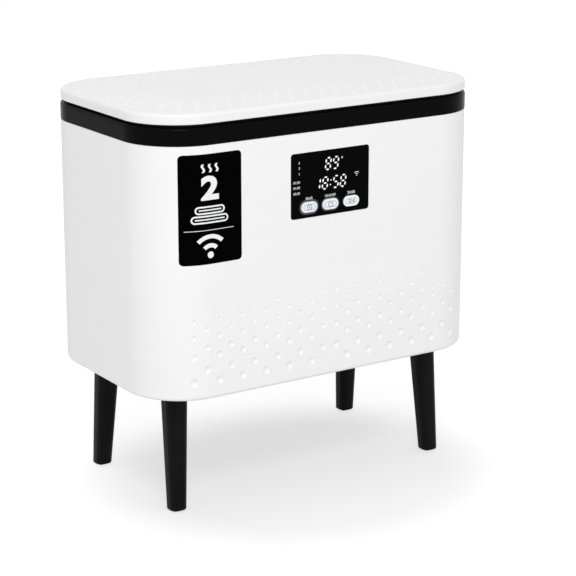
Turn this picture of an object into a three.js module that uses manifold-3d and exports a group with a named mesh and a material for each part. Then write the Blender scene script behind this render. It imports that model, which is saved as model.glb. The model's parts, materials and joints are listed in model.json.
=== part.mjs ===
import * as THREE from "three";
import { mergeVertices } from "three/addons/utils/BufferGeometryUtils.js";
import Module from "manifold-3d";

const wasm = await Module();
wasm.setup();

// A free-standing towel warmer bucket: a hollow body on four splayed legs, with a hinged lid,
// a heated inner bucket and a control panel with three push buttons.
// Millimetres, floor at zero height, front facing -Y, +X to the right.

// Overall sizes
const bodyWidth = 420;
const bodyDepth = 250;
const cornerRadius = 64;
const floorToShell = 131.5;
const shellHeight = 267.5;
const collarHeight = 18.5;
const lidGap = 3;
const lidHeight = 11;

// Clearances
const seatGap = 0.3;
const slidingGap = 0.3;
const pinGap = 0.15;
const cutOverrun = 1;

// Outer shell
const shellInset = 0.3;
const shellWall = 3;
const hemRadius = 4;
const pillarRadius = 5;
const pillarHeight = 28;
const pillarInset = 20;
const pillarSpread = 110;
const pillarRibWidth = 3;
const plateScrewRadius = 1.9;
const plateScrewHeadRadius = 3.6;
const plateScrewHeadHeight = 1.8;
const plateScrewReach = 16;

// Dimples pressed into the front of the shell: columns spread both ways from the middle, on to the
// corners, every other column lower, and each dimple smaller the higher it stands
const frontDimpleColumns = 12;
const frontDimplePitch = 14;
const frontDimpleMiddleGap = 17;
const frontDimpleRise = 19.5;
const frontDimpleBand = 75;
const frontDimpleLargest = 4.6;
const frontDimpleSmallest = 2;
const frontDimpleDepthShare = 0.3;
const frontDimpleUpperShares = [0.173, 0.487, 0.753, 1];
const frontDimpleLowerShares = [0, 0.367, 0.64, 0.873];

// Collar
const collarBottomRound = 0.6;
const collarTopRound = 3;
const collarTopDrop = 3.4;
const collarRoundShares = [{ inset: 0.13, drop: 0.5 }, { inset: 0.5, drop: 0.14 }];
const collarRim = 7;
const ledgeDrop = 9.8;
const ledgeReach = 16;
const ledgeThickness = 3;
const skirtThickness = 3;
const skirtDepth = 11;

// Inner bucket, heater and insulation
const bucketInset = 24;
const bucketDraft = 3;
const bucketWall = 2;
const bucketBaseRound = 10;
const bucketFlangeThickness = 2;
const roomUnderBucket = 39;
const heaterThickness = 0.8;
const heaterBottomMargin = 22;
const heaterTopMargin = 25;
const wrapThickness = 4;
const wrapBottomMargin = 6;
const wrapTopMargin = 4.7;

// Base plate
const plateThickness = 3;
const plateRimInset = 30;
const plateRimThickness = 2.5;
const plateRimHeight = 6;
const legBossRadius = 10;
const legBossHeight = 12;
const boardPostRadius = 3.5;
const boardPostHeight = 9;

// Legs
const legInsetX = 47.5;
const legInsetY = 52;
const legSplayX = 4.5;
const legSplayY = 10;
const legTopSize = 24.2;
const legFootSize = 17.8;
const legRoundShare = 0.38;
const footEdgeRound = 1.2;
const softEdgeShare = 0.3;
const studRadius = 4;
const legSocketDepth = 20;
const padSize = 12;
const padThickness = 3;
const padProud = 1.2;

// Control panel
const windowWidth = 98.5;
const windowHeight = 69;
const windowRound = 3;
const windowThickness = 2.5;
const windowDrop = 56;
const housingWall = 2;
const housingClearance = 1;
const housingFlangeReach = 5;
const housingFlangeThickness = 1.5;
const boardThickness = 1.6;
const boardMargin = 1;
const boardStandoff = 2.5;
const displayWidth = 50;
const displayHeight = 34;
const displayRise = 9.5;
const displayShift = 2.5;

// Buttons and the switches behind them
const buttonWidth = 20;
const buttonHeight = 11.4;
const buttonPitch = 26.7;
const buttonDrop = 23.4;
const buttonProud = 1;
const buttonEdgeRound = 0.8;
const buttonTravel = 0.8;
const buttonFlangeReach = 1.2;
const buttonFlangeThickness = 1.2;
const buttonStemRadius = 2;
const switchSize = 6;
const switchHeight = 3.2;
const plungerRadius = 1.7;
const plungerHeight = 1.2;

// Lid
const lidInset = 0.5;
const lidTopRound = 3.5;
const lidBottomRound = 1;
const lidWall = 2.7;
const lidBossRadius = 4;
const lidBossInset = 20;
const lidBossSpread = 120;
const lidScrewRadius = 1.5;
const lidScrewHeadRadius = 3.2;
const lidScrewHeadHeight = 1.6;
const linerFlangeThickness = 2;
const linerStepInset = 7.9;
const linerStepDepth = 6.5;
const linerWall = 2.5;
const plugGap = 2;
const plugDepth = 10;
const sealInset = 12;
const sealWidth = 4;
const sealLipWidth = 1.5;

// Dimples in the top of the lid: staggered rows in a band round its plain middle
const lidDimpleRows = 4;
const lidDimpleRowPitch = 15.5;
const lidDimpleFromEdge = 15;
const lidDimplePitch = 19;
const lidDimpleRadius = 2.2;
const lidDimpleDepth = 0.6;

// Hinge
const hingeStandOff = 6;
const hingeRise = 0.5;
const hingeHalfSpacing = 105;
const barrelRadius = 5;
const hingePinRadius = 2;
const armWidth = 24;
const lugWidth = 6;
const hingeSideGap = 0.4;
const armReach = 10;
const lugRootDrop = 13;
const lugShoulderDrop = 2;
const lugRootBite = 1.5;

// Cord gland, an empty bush in the rear wall
const glandBoreRadius = 3.8;
const glandNeckRadius = 6;
const glandFlangeRadius = 8.5;
const glandFlangeThickness = 2;
const glandLipRadius = 7.2;
const glandLipThickness = 1.5;
const glandFromSide = 90;
const glandRise = 27;

// Power electronics under the bucket
const powerBoardWidth = 110;
const powerBoardDepth = 70;
const powerBoardX = -60;
const boardScrewInset = 6;
const boardScrewRadius = 1.2;
const boardScrewHeadRadius = 2.6;
const boardScrewHeadHeight = 1.6;
const thermostatRadius = 8;
const thermostatHeight = 6;
const thermostatX = 70;
const fuseRadius = 2.2;
const fuseLength = 14;
const fuseX = 104;
const sensorWidth = 9;
const sensorDepth = 5;
const sensorHeight = 4;
const sensorX = 70;
const sensorY = 36;
const boardComponents = {
  relay: { width: 19, depth: 15.5, height: 15, xShare: -0.2, yShare: -0.23 },
  transformer: { width: 26, depth: 22, height: 17, xShare: 0.22, yShare: 0.11 },
  terminal_block: { width: 30, depth: 10, height: 12, xShare: -0.15, yShare: 0.32 },
};
const wifiWidth = 16;
const wifiHeight = 24;
const wifiThickness = 2.4;
const wifiShift = 36;
const wifiRise = 10;

// How finely rounds are stepped: pieces that nest share their corner steps, so their gaps stay even
const planCornerSteps = 7;
const smallCornerSteps = 3;
const legCornerSteps = 3;
const filletSteps = 3;
const pinSides = 12;
const postSides = 8;
const screwSides = 8;
const frontDimpleSides = 5;
const lidDimpleSides = 4;

// Levels
const shellBottom = floorToShell;
const collarBottom = shellBottom + shellHeight;
const shellTop = collarBottom - seatGap;
const collarTop = collarBottom + collarHeight;
const lidBottom = collarTop + lidGap;
const lidTop = lidBottom + lidHeight;
const ledgeTop = collarTop - ledgeDrop;
const bucketMouth = ledgeTop + seatGap + bucketFlangeThickness;
const bucketUnderside = shellBottom + roomUnderBucket;
const plateTop = shellBottom + plateThickness;
const legTop = shellBottom - seatGap;

// Depths, from the front face at the negative end to the rear face at the positive end
const frontPlane = -bodyDepth / 2;
const rearPlane = bodyDepth / 2;
const shellFrontInside = frontPlane + shellInset + shellWall;
const heaterInset = bucketInset - seatGap - heaterThickness;
const wrapInset = heaterInset - seatGap - wrapThickness;
const housingBack = frontPlane + wrapInset - housingClearance;
const boardBack = housingBack - housingWall - boardStandoff;
const boardFront = boardBack - boardThickness;
const windowBack = frontPlane + windowThickness;
const hingeY = rearPlane + hingeStandOff;
const hingeZ = collarTop + hingeRise;

// The origin stands under the middle of the whole object, hinge and buttons counted
const frontReach = bodyDepth / 2 + buttonProud;
const rearReach = hingeY + barrelRadius;
const planShift = (frontReach - rearReach) / 2;

const bodyPlan = { width: bodyWidth, depth: bodyDepth, radius: cornerRadius };
const quarter = Math.PI / 2;
const sides = { left: -1, right: 1 };
const ends = { front: -1, rear: 1 };

const finishes = {
  whiteShell: new THREE.MeshStandardMaterial({ color: 0xf0f0f0, roughness: 0.45 }),
  whiteLid: new THREE.MeshStandardMaterial({ color: 0xededed, roughness: 0.5 }),
  blackTrim: new THREE.MeshStandardMaterial({ color: 0x17171a, roughness: 0.55 }),
  blackLeg: new THREE.MeshStandardMaterial({ color: 0x1b1b1d, roughness: 0.6 }),
  blackGloss: new THREE.MeshStandardMaterial({ color: 0x050506, roughness: 0.08 }),
  milkyCap: new THREE.MeshStandardMaterial({ color: 0xd9dcec, roughness: 0.35 }),
  bucketMetal: new THREE.MeshStandardMaterial({ color: 0xb9bcbf, roughness: 0.35, metalness: 1 }),
  steel: new THREE.MeshStandardMaterial({ color: 0x9a9c9f, roughness: 0.3, metalness: 1 }),
  rubber: new THREE.MeshStandardMaterial({ color: 0x202022, roughness: 0.9 }),
  felt: new THREE.MeshStandardMaterial({ color: 0xcfcac0, roughness: 1 }),
  film: new THREE.MeshStandardMaterial({ color: 0xc07a3a, roughness: 0.5 }),
  board: new THREE.MeshStandardMaterial({ color: 0x1f5a35, roughness: 0.6 }),
  component: new THREE.MeshStandardMaterial({ color: 0x2a2c30, roughness: 0.5 }),
};

// Shape helpers

function planRing(plan, inset, height, steps, centre = { x: 0, y: 0 }) {
  const round = Math.max(plan.radius - inset, seatGap);
  const reachX = plan.width / 2 - inset - round;
  const reachY = plan.depth / 2 - inset - round;
  const corners = [[1, -1], [1, 1], [-1, 1], [-1, -1]];
  const ring = [];
  corners.forEach(([signX, signY], corner) => {
    for (let step = 0; step <= steps; step += 1) {
      const angle = (corner - 1 + step / steps) * quarter;
      const x = centre.x + signX * reachX + round * Math.cos(angle);
      const y = centre.y + signY * reachY + round * Math.sin(angle);
      ring.push(new THREE.Vector3(x, y, height));
    }
  });
  return ring;
}

function skin(rings, closed = false) {
  const count = rings[0].length;
  const points = rings.flat();
  const faces = [];
  const spans = closed ? rings.length : rings.length - 1;
  for (let span = 0; span < spans; span += 1) {
    const low = span * count;
    const high = ((span + 1) % rings.length) * count;
    for (let j = 0; j < count; j += 1) {
      const next = (j + 1) % count;
      faces.push(low + j, low + next, high + next);
      faces.push(low + j, high + next, high + j);
    }
  }
  if (!closed) {
    const firstMiddle = points.push(middleOf(rings[0])) - 1;
    const lastMiddle = points.push(middleOf(rings.at(-1))) - 1;
    const lastStart = (rings.length - 1) * count;
    for (let j = 0; j < count; j += 1) {
      const next = (j + 1) % count;
      faces.push(firstMiddle, next, j);
      faces.push(lastMiddle, lastStart + j, lastStart + next);
    }
  }
  const geometry = new THREE.BufferGeometry().setFromPoints(points);
  geometry.setIndex(faces);
  return geometry;
}

function middleOf(ring) {
  const middle = new THREE.Vector3();
  ring.forEach((point) => middle.add(point));
  return middle.divideScalar(ring.length);
}

// A profile of inset and height is carried round a rounded plan, up on the outside
function sweepRound(plan, profile, steps, closed = false) {
  return skin(profile.map(([inset, height]) => planRing(plan, inset, height, steps)), closed);
}

function arcProfile(centreInset, centreHeight, radius, from, to, steps = filletSteps) {
  const points = [];
  for (let step = 0; step <= steps; step += 1) {
    const angle = from + ((to - from) * step) / steps;
    points.push([centreInset - radius * Math.cos(angle), centreHeight + radius * Math.sin(angle)]);
  }
  return points;
}

function post(radius, bottom, top, x, y, count = postSides) {
  const geometry = new THREE.CylinderGeometry(radius, radius, top - bottom, count);
  geometry.rotateX(quarter);
  geometry.translate(x, y, (bottom + top) / 2);
  return geometry;
}

function block(width, depth, bottom, top, x, y) {
  const geometry = new THREE.BoxGeometry(width, depth, top - bottom);
  geometry.translate(x, y, (bottom + top) / 2);
  return geometry;
}

// The outline of a rounded plan as one closed path that starts at the middle of its front
function planPath(plan, inset) {
  const round = plan.radius - inset;
  const reachX = plan.width / 2 - inset - round;
  const reachY = plan.depth / 2 - inset - round;
  const path = new THREE.Path();
  path.moveTo(0, -reachY - round);
  path.absarc(reachX, -reachY, round, -quarter, 0);
  path.absarc(reachX, reachY, round, 0, quarter);
  path.absarc(-reachX, reachY, round, quarter, 2 * quarter);
  path.absarc(-reachX, -reachY, round, 2 * quarter, 3 * quarter);
  path.closePath();
  return path;
}

// A cone that presses a dimple inwards along +Y, from a face that looks along -Y
function dimpleCone(radius, depth, count) {
  const height = depth + cutOverrun;
  const cone = new THREE.ConeGeometry((radius * height) / depth, height, count);
  cone.translate(0, depth - height / 2, 0);
  return cone;
}

// A piece that faces the front: its plan lies in X and Z, and back and front are depths
function facing(width, height, radius, layers, x, z, steps = smallCornerSteps) {
  const plan = { width, depth: height, radius };
  const geometry = skin(layers.map(([inset, depth]) => planRing(plan, inset, -depth, steps)));
  geometry.rotateX(quarter);
  geometry.translate(x, 0, z);
  return geometry;
}

function facingPost(radius, back, front, x, z, count = postSides) {
  const geometry = new THREE.CylinderGeometry(radius, radius, back - front, count);
  geometry.translate(x, (back + front) / 2, z);
  return geometry;
}

// An outline drawn in depth and height is carried along X between two widths
function along(outline, from, to) {
  const settings = { depth: to - from, bevelEnabled: false, curveSegments: pinSides };
  const geometry = new THREE.ExtrudeGeometry(outline, settings);
  const axes = new THREE.Matrix4().makeBasis(
    new THREE.Vector3(0, 1, 0),
    new THREE.Vector3(0, 0, 1),
    new THREE.Vector3(1, 0, 0),
  );
  geometry.applyMatrix4(axes);
  geometry.translate(from, 0, 0);
  return geometry;
}

function crossPin(radius, from, to, y, z, count = pinSides) {
  const geometry = new THREE.CylinderGeometry(radius, radius, to - from, count);
  geometry.rotateZ(quarter);
  geometry.translate((from + to) / 2, y, z);
  return geometry;
}

function toSolid(geometry) {
  const bare = geometry.clone();
  bare.deleteAttribute("normal");
  bare.deleteAttribute("uv");
  const merged = mergeVertices(bare);
  const vertProperties = Float32Array.from(merged.getAttribute("position").array);
  const triVerts = Uint32Array.from(merged.getIndex().array);
  return new wasm.Manifold(new wasm.Mesh({ numProp: 3, vertProperties, triVerts }));
}

function toGeometry(solid) {
  const mesh = solid.getMesh();
  const geometry = new THREE.BufferGeometry();
  geometry.setAttribute("position", new THREE.BufferAttribute(mesh.vertProperties, 3));
  geometry.setIndex(new THREE.BufferAttribute(mesh.triVerts, 1));
  return geometry;
}

function fuse(base, added) {
  return toGeometry(added.reduce((solid, piece) => solid.add(toSolid(piece)), toSolid(base)));
}

function cut(base, removed) {
  return toGeometry(removed.reduce((solid, piece) => solid.subtract(toSolid(piece)), toSolid(base)));
}

function named(name, geometry, finish) {
  geometry.computeVertexNormals();
  const mesh = new THREE.Mesh(geometry, finish);
  mesh.name = name;
  return mesh;
}

// Places that repeat

function fourCorners(x, y) {
  return Object.values(sides).flatMap((side) => Object.values(ends).map((end) => [side * x, end * y]));
}

const pillarPlaces = fourCorners(pillarSpread, bodyDepth / 2 - pillarInset);
const lidBossPlaces = fourCorners(lidBossSpread, bodyDepth / 2 - lidBossInset);
const powerPostPlaces = fourCorners(
  powerBoardWidth / 2 - boardScrewInset,
  powerBoardDepth / 2 - boardScrewInset,
).map(([x, y]) => [x + powerBoardX, y]);

// Body shell, collar and base plate

const hemInset = shellInset + hemRadius;
const hemHeight = shellBottom + hemRadius;
const windowHeightAboveFloor = collarBottom - windowDrop;
const glandX = bodyWidth / 2 - glandFromSide;
const glandZ = shellBottom + glandRise;

// Columns stand at even steps along the outer face, which turns away from the front at the corners
function frontDimples() {
  const straight = bodyWidth / 2 - cornerRadius;
  const round = cornerRadius - shellInset;
  const cones = [];
  for (let column = 0; column < frontDimpleColumns; column += 1) {
    const reach = frontDimpleMiddleGap / 2 + column * frontDimplePitch;
    const turn = Math.max(reach - straight, 0) / round;
    const x = Math.min(reach, straight) + round * Math.sin(turn);
    const y = frontPlane + cornerRadius - round * Math.cos(turn);
    const rowShares = column % 2 === 0 ? frontDimpleUpperShares : frontDimpleLowerShares;
    rowShares.forEach((share) => {
      const radius = frontDimpleLargest + (frontDimpleSmallest - frontDimpleLargest) * share;
      Object.values(sides).forEach((side) => {
        const cone = dimpleCone(radius, radius * frontDimpleDepthShare, frontDimpleSides);
        cone.rotateZ(side * turn);
        cone.translate(side * x, y, shellBottom + frontDimpleRise + frontDimpleBand * share);
        cones.push(cone);
      });
    });
  }
  return cones;
}

function makeOuterShell() {
  const profile = [
    ...arcProfile(hemInset, hemHeight, hemRadius, -quarter, 0),
    [shellInset, shellTop],
    [shellInset + shellWall, shellTop],
    ...arcProfile(hemInset, hemHeight, hemRadius - shellWall, 0, -quarter),
  ];
  const sleeve = sweepRound(bodyPlan, profile, planCornerSteps, true);
  const pillarBottom = plateTop + seatGap;
  const pillarTop = pillarBottom + pillarHeight;
  const pillars = pillarPlaces.flatMap(([x, y]) => {
    const wallY = Math.sign(y) * (bodyDepth / 2 - shellInset - shellWall / 2);
    const ribDepth = Math.abs(wallY - y);
    const ribBottom = hemHeight;
    return [
      post(pillarRadius, pillarBottom, pillarTop, x, y),
      block(pillarRibWidth, ribDepth, ribBottom, pillarTop, x, (wallY + y) / 2),
    ];
  });
  const screwHoles = pillarPlaces.map(([x, y]) =>
    post(plateScrewRadius + pinGap, pillarBottom - cutOverrun, pillarBottom + plateScrewReach, x, y));
  const opening = facing(
    windowWidth + 2 * seatGap,
    windowHeight + 2 * seatGap,
    windowRound + seatGap,
    [[0, shellFrontInside + cutOverrun], [0, frontPlane - cutOverrun]],
    0,
    windowHeightAboveFloor,
  );
  const wallInside = rearPlane - shellInset - shellWall;
  const glandHole = facingPost(
    glandNeckRadius + seatGap, rearPlane + cutOverrun, wallInside - cutOverrun, glandX, glandZ, pinSides);
  return cut(fuse(sleeve, pillars), [...screwHoles, opening, glandHole, ...frontDimples()]);
}

const lugRoundStart = -quarter / 2;
const lugRoundEnd = quarter + quarter / 2;

function lugOutline() {
  const root = rearPlane - lugRootBite;
  const outline = new THREE.Shape();
  outline.moveTo(root, hingeZ - lugRootDrop);
  outline.absarc(hingeY, hingeZ, barrelRadius, lugRoundStart, lugRoundEnd, false);
  outline.lineTo(root, hingeZ - lugShoulderDrop);
  outline.closePath();
  return outline;
}

function makeCollar() {
  const skirtInset = shellInset + shellWall + seatGap;
  const profile = [
    [collarBottomRound, collarBottom],
    [0, collarBottom + collarBottomRound],
    [0, collarTop - collarTopDrop],
    ...collarRoundShares.map(({ inset, drop }) =>
      [collarTopRound * inset, collarTop - collarTopDrop * drop]),
    [collarTopRound, collarTop],
    [collarRim, collarTop],
    [collarRim, ledgeTop],
    [ledgeReach, ledgeTop],
    [ledgeReach, ledgeTop - ledgeThickness],
    [skirtInset + skirtThickness, ledgeTop - ledgeThickness],
    [skirtInset + skirtThickness, collarBottom - skirtDepth],
    [skirtInset, collarBottom - skirtDepth],
    [skirtInset, collarBottom],
  ];
  const ring = sweepRound(bodyPlan, profile, planCornerSteps, true);
  const lugStart = armWidth / 2 + hingeSideGap;
  const lugs = Object.values(sides).flatMap((side) =>
    Object.values(sides).map((flank) => {
      const middle = side * hingeHalfSpacing + flank * (lugStart + lugWidth / 2);
      return along(lugOutline(), middle - lugWidth / 2, middle + lugWidth / 2);
    }));
  const bores = Object.values(sides).map((side) => {
    const reach = lugStart + lugWidth + cutOverrun;
    const middle = side * hingeHalfSpacing;
    return crossPin(hingePinRadius + pinGap, middle - reach, middle + reach, hingeY, hingeZ);
  });
  return cut(fuse(ring, lugs), bores);
}

function makeBasePlate() {
  const edge = hemInset + seatGap;
  const rimTop = plateTop + plateRimHeight;
  const tray = sweepRound(bodyPlan, [
    [edge, shellBottom],
    [edge, plateTop],
    [plateRimInset, plateTop],
    [plateRimInset, rimTop],
    [plateRimInset + plateRimThickness, rimTop],
    [plateRimInset + plateRimThickness, plateTop],
  ], planCornerSteps);
  const bossTop = plateTop + legBossHeight;
  const postTop = plateTop + boardPostHeight;
  const sunk = plateThickness / 2;
  const bosses = legPlaces().map(({ x, y }) => post(legBossRadius, plateTop - sunk, bossTop, x, y));
  const posts = powerPostPlaces.map(([x, y]) => post(boardPostRadius, plateTop - sunk, postTop, x, y));
  const studHoles = legPlaces().map(({ x, y }) =>
    post(studRadius + pinGap, shellBottom - cutOverrun, bossTop + cutOverrun, x, y));
  const boardHoles = powerPostPlaces.map(([x, y]) =>
    post(boardScrewRadius + pinGap, plateTop, postTop + cutOverrun, x, y));
  const shankHoles = pillarPlaces.map(([x, y]) =>
    post(plateScrewRadius + pinGap, shellBottom - cutOverrun, plateTop + cutOverrun, x, y));
  const headPockets = pillarPlaces.map(([x, y]) =>
    post(plateScrewHeadRadius + pinGap, shellBottom - cutOverrun, shellBottom + plateScrewHeadHeight, x, y));
  return cut(fuse(tray, [...bosses, ...posts]), [...studHoles, ...boardHoles, ...shankHoles, ...headPockets]);
}

// Screws: a round head and a plain shank, drawn upwards from the head
function screw(shankRadius, headRadius, headHeight, length, x, y, headBottom) {
  const outline = [
    [0, 0],
    [headRadius, 0],
    [headRadius, headHeight],
    [shankRadius, headHeight],
    [shankRadius, headHeight + length],
    [0, headHeight + length],
  ].map(([radius, height]) => new THREE.Vector2(radius, height));
  const geometry = new THREE.LatheGeometry(outline, screwSides);
  geometry.rotateX(quarter);
  geometry.translate(x, y, headBottom);
  return geometry;
}

// Inner bucket with what is wrapped round it

function bucketInsetAt(height) {
  const share = (bucketMouth - height) / (bucketMouth - bucketUnderside);
  return bucketInset + bucketDraft * share;
}

function makeInnerBucket() {
  const flangeBottom = bucketMouth - bucketFlangeThickness;
  const flangeEdge = collarRim + seatGap;
  const baseInset = bucketInsetAt(bucketUnderside);
  const innerRound = bucketBaseRound - bucketWall;
  const roundInset = baseInset + bucketBaseRound;
  const roundHeight = bucketUnderside + bucketBaseRound;
  const profile = [
    ...arcProfile(roundInset, roundHeight, bucketBaseRound, -quarter, 0),
    [bucketInsetAt(flangeBottom), flangeBottom],
    [flangeEdge, flangeBottom],
    [flangeEdge, bucketMouth],
    [bucketInset + bucketWall, bucketMouth],
    ...arcProfile(roundInset, roundHeight, innerRound, 0, -quarter),
  ];
  return sweepRound(bodyPlan, profile, planCornerSteps);
}

function makeWrap(inner, thickness, bottom, top) {
  const profile = [
    [bucketInsetAt(bottom) - inner - thickness, bottom],
    [bucketInsetAt(top) - inner - thickness, top],
    [bucketInsetAt(top) - inner, top],
    [bucketInsetAt(bottom) - inner, bottom],
  ];
  return sweepRound(bodyPlan, profile, planCornerSteps, true);
}

// Legs

function legPlaces() {
  return Object.entries(ends).flatMap(([endName, end]) =>
    Object.entries(sides).map(([sideName, side]) => ({
      name: `${endName}_${sideName}`,
      x: side * (bodyWidth / 2 - legInsetX),
      y: end * (bodyDepth / 2 - legInsetY),
      footX: side * (bodyWidth / 2 - legInsetX + legSplayX),
      footY: end * (bodyDepth / 2 - legInsetY + legSplayY),
    })));
}

function makeLeg(place) {
  const section = (height, trim) => {
    const share = height / legTop;
    const size = legFootSize + (legTopSize - legFootSize) * share;
    const centre = {
      x: place.footX + (place.x - place.footX) * share,
      y: place.footY + (place.y - place.footY) * share,
    };
    const plan = { width: size, depth: size, radius: size * legRoundShare };
    return planRing(plan, trim, height, legCornerSteps, centre);
  };
  const shaft = skin([
    section(padProud, footEdgeRound),
    section(padProud + footEdgeRound * softEdgeShare, footEdgeRound * softEdgeShare),
    section(padProud + footEdgeRound, 0),
    section(legTop, 0),
  ]);
  const pocket = block(
    padSize + 2 * seatGap,
    padSize + 2 * seatGap,
    padProud - cutOverrun,
    padThickness + seatGap,
    place.footX,
    place.footY,
  );
  const socket = post(studRadius + pinGap, legTop - legSocketDepth, legTop + cutOverrun, place.x, place.y);
  return cut(shaft, [pocket, socket]);
}

// Control panel, facing the front

function buttonPlaces() {
  return ["timer", "power", "delay"].map((name, index) => ({
    name,
    x: (index - 1) * buttonPitch,
    z: windowHeightAboveFloor - buttonDrop,
  }));
}

function makePanelWindow() {
  const plate = facing(
    windowWidth,
    windowHeight,
    windowRound,
    [[0, windowBack], [0, frontPlane + seatGap], [seatGap, frontPlane]],
    0,
    windowHeightAboveFloor,
  );
  const slots = buttonPlaces().map(({ x, z }) => facing(
    buttonWidth + 2 * slidingGap,
    buttonHeight + 2 * slidingGap,
    buttonHeight / 2 + slidingGap,
    [[0, windowBack + cutOverrun], [0, frontPlane - cutOverrun]],
    x,
    z,
  ));
  return cut(plate, slots);
}

function makePanelHousing() {
  const width = windowWidth - 2 * seatGap;
  const height = windowHeight - 2 * seatGap;
  const rimFront = windowBack + seatGap;
  const flangeFront = shellFrontInside + seatGap;
  const flangeBack = flangeFront + housingFlangeThickness;
  const tub = facing(
    width, height, windowRound, [[0, housingBack], [0, rimFront]], 0, windowHeightAboveFloor);
  const flange = facing(
    width + 2 * housingFlangeReach,
    height + 2 * housingFlangeReach,
    windowRound + housingFlangeReach,
    [[0, flangeBack], [0, flangeFront]],
    0,
    windowHeightAboveFloor,
  );
  const hollow = facing(
    width - 2 * housingWall,
    height - 2 * housingWall,
    windowRound - housingWall,
    [[0, housingBack - housingWall], [0, rimFront - cutOverrun]],
    0,
    windowHeightAboveFloor,
  );
  const floorFront = housingBack - housingWall;
  const posts = controlPostPlaces().map(([x, z]) =>
    facingPost(boardPostRadius, floorFront + housingWall / 2, boardBack + seatGap, x, z));
  const holes = controlPostPlaces().map(([x, z]) =>
    facingPost(boardScrewRadius + pinGap, floorFront, boardBack - cutOverrun, x, z));
  return cut(fuse(cut(fuse(tub, [flange]), [hollow]), posts), holes);
}

function controlBoardSize() {
  const inside = 2 * (seatGap + housingWall + boardMargin);
  return { width: windowWidth - inside, height: windowHeight - inside };
}

function controlPostPlaces() {
  const { width, height } = controlBoardSize();
  return fourCorners(width / 2 - boardScrewInset, height / 2 - boardScrewInset)
    .map(([x, z]) => [x, windowHeightAboveFloor + z]);
}

function makeControlBoard() {
  const { width, height } = controlBoardSize();
  const plate = facing(
    width, height, seatGap, [[0, boardBack], [0, boardFront]], 0, windowHeightAboveFloor, 1);
  const holes = controlPostPlaces().map(([x, z]) =>
    facingPost(boardScrewRadius + pinGap, boardBack + cutOverrun, boardFront - cutOverrun, x, z));
  return cut(plate, holes);
}

function makeControlScrew(x, z) {
  const length = boardThickness + boardStandoff;
  const geometry = screw(boardScrewRadius, boardScrewHeadRadius, boardScrewHeadHeight, length, 0, 0, 0);
  geometry.rotateX(-quarter);
  geometry.translate(x, boardFront - seatGap - boardScrewHeadHeight, z);
  return geometry;
}

function makeSwitch({ x, z }) {
  const bodyFront = boardFront - seatGap - switchHeight;
  const body = new THREE.BoxGeometry(switchSize, switchHeight, switchSize);
  body.translate(x, bodyFront + switchHeight / 2, z);
  const plunger = facingPost(plungerRadius, bodyFront + switchHeight / 2, bodyFront - plungerHeight, x, z);
  return fuse(body, [plunger]);
}

function makeButton({ x, z }) {
  const front = frontPlane - buttonProud;
  const flangeFront = windowBack + seatGap;
  const flangeBack = flangeFront + buttonFlangeThickness;
  const plungerTip = boardFront - seatGap - switchHeight - plungerHeight;
  const stemBack = plungerTip - buttonTravel - seatGap;
  const soft = buttonEdgeRound * softEdgeShare;
  const cap = facing(
    buttonWidth,
    buttonHeight,
    buttonHeight / 2,
    [
      [0, flangeBack - buttonFlangeThickness / 2],
      [0, front + buttonEdgeRound],
      [soft, front + soft],
      [buttonEdgeRound, front],
    ],
    x,
    z,
  );
  const flange = facing(
    buttonWidth + 2 * buttonFlangeReach,
    buttonHeight + 2 * buttonFlangeReach,
    buttonHeight / 2 + buttonFlangeReach,
    [[0, flangeBack], [0, flangeFront]],
    x,
    z,
  );
  const stem = facingPost(buttonStemRadius, stemBack, flangeBack - buttonFlangeThickness / 2, x, z);
  return fuse(cap, [flange, stem]);
}

function makeDisplayModule() {
  const back = boardFront - seatGap;
  const front = windowBack + seatGap;
  return facing(
    displayWidth,
    displayHeight,
    seatGap,
    [[0, back], [0, front]],
    displayShift,
    windowHeightAboveFloor + displayRise,
    1,
  );
}

function makeWifiModule() {
  const back = boardFront - seatGap;
  return facing(
    wifiWidth,
    wifiHeight,
    seatGap,
    [[0, back], [0, back - wifiThickness]],
    -wifiShift,
    windowHeightAboveFloor + wifiRise,
    1,
  );
}

// Lid: a white cover, a black liner with the hinge arms, a pad between them and a seal

const coverInside = lidInset + lidWall;
const ceiling = lidTop - lidWall;
const linerBottom = lidBottom + seatGap;
const linerTop = linerBottom + linerFlangeThickness;
const stepBottom = lidBottom - linerStepDepth;
const plugInset = bucketInset + bucketWall + plugGap;
const plugBottom = stepBottom - plugDepth;
const armTop = hingeZ + barrelRadius;

function lidDimples() {
  const cones = [];
  for (let row = 0; row < lidDimpleRows; row += 1) {
    const path = planPath(bodyPlan, lidInset + lidDimpleFromEdge + row * lidDimpleRowPitch);
    const count = Math.round(path.getLength() / lidDimplePitch);
    for (let step = 0; step < count; step += 1) {
      const stagger = (row % 2) / 2;
      const place = path.getPoint((step + stagger) / count);
      const cone = dimpleCone(lidDimpleRadius, lidDimpleDepth, lidDimpleSides);
      cone.rotateX(-quarter);
      cone.translate(place.x, place.y, lidTop);
      cones.push(cone);
    }
  }
  return cones;
}

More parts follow.
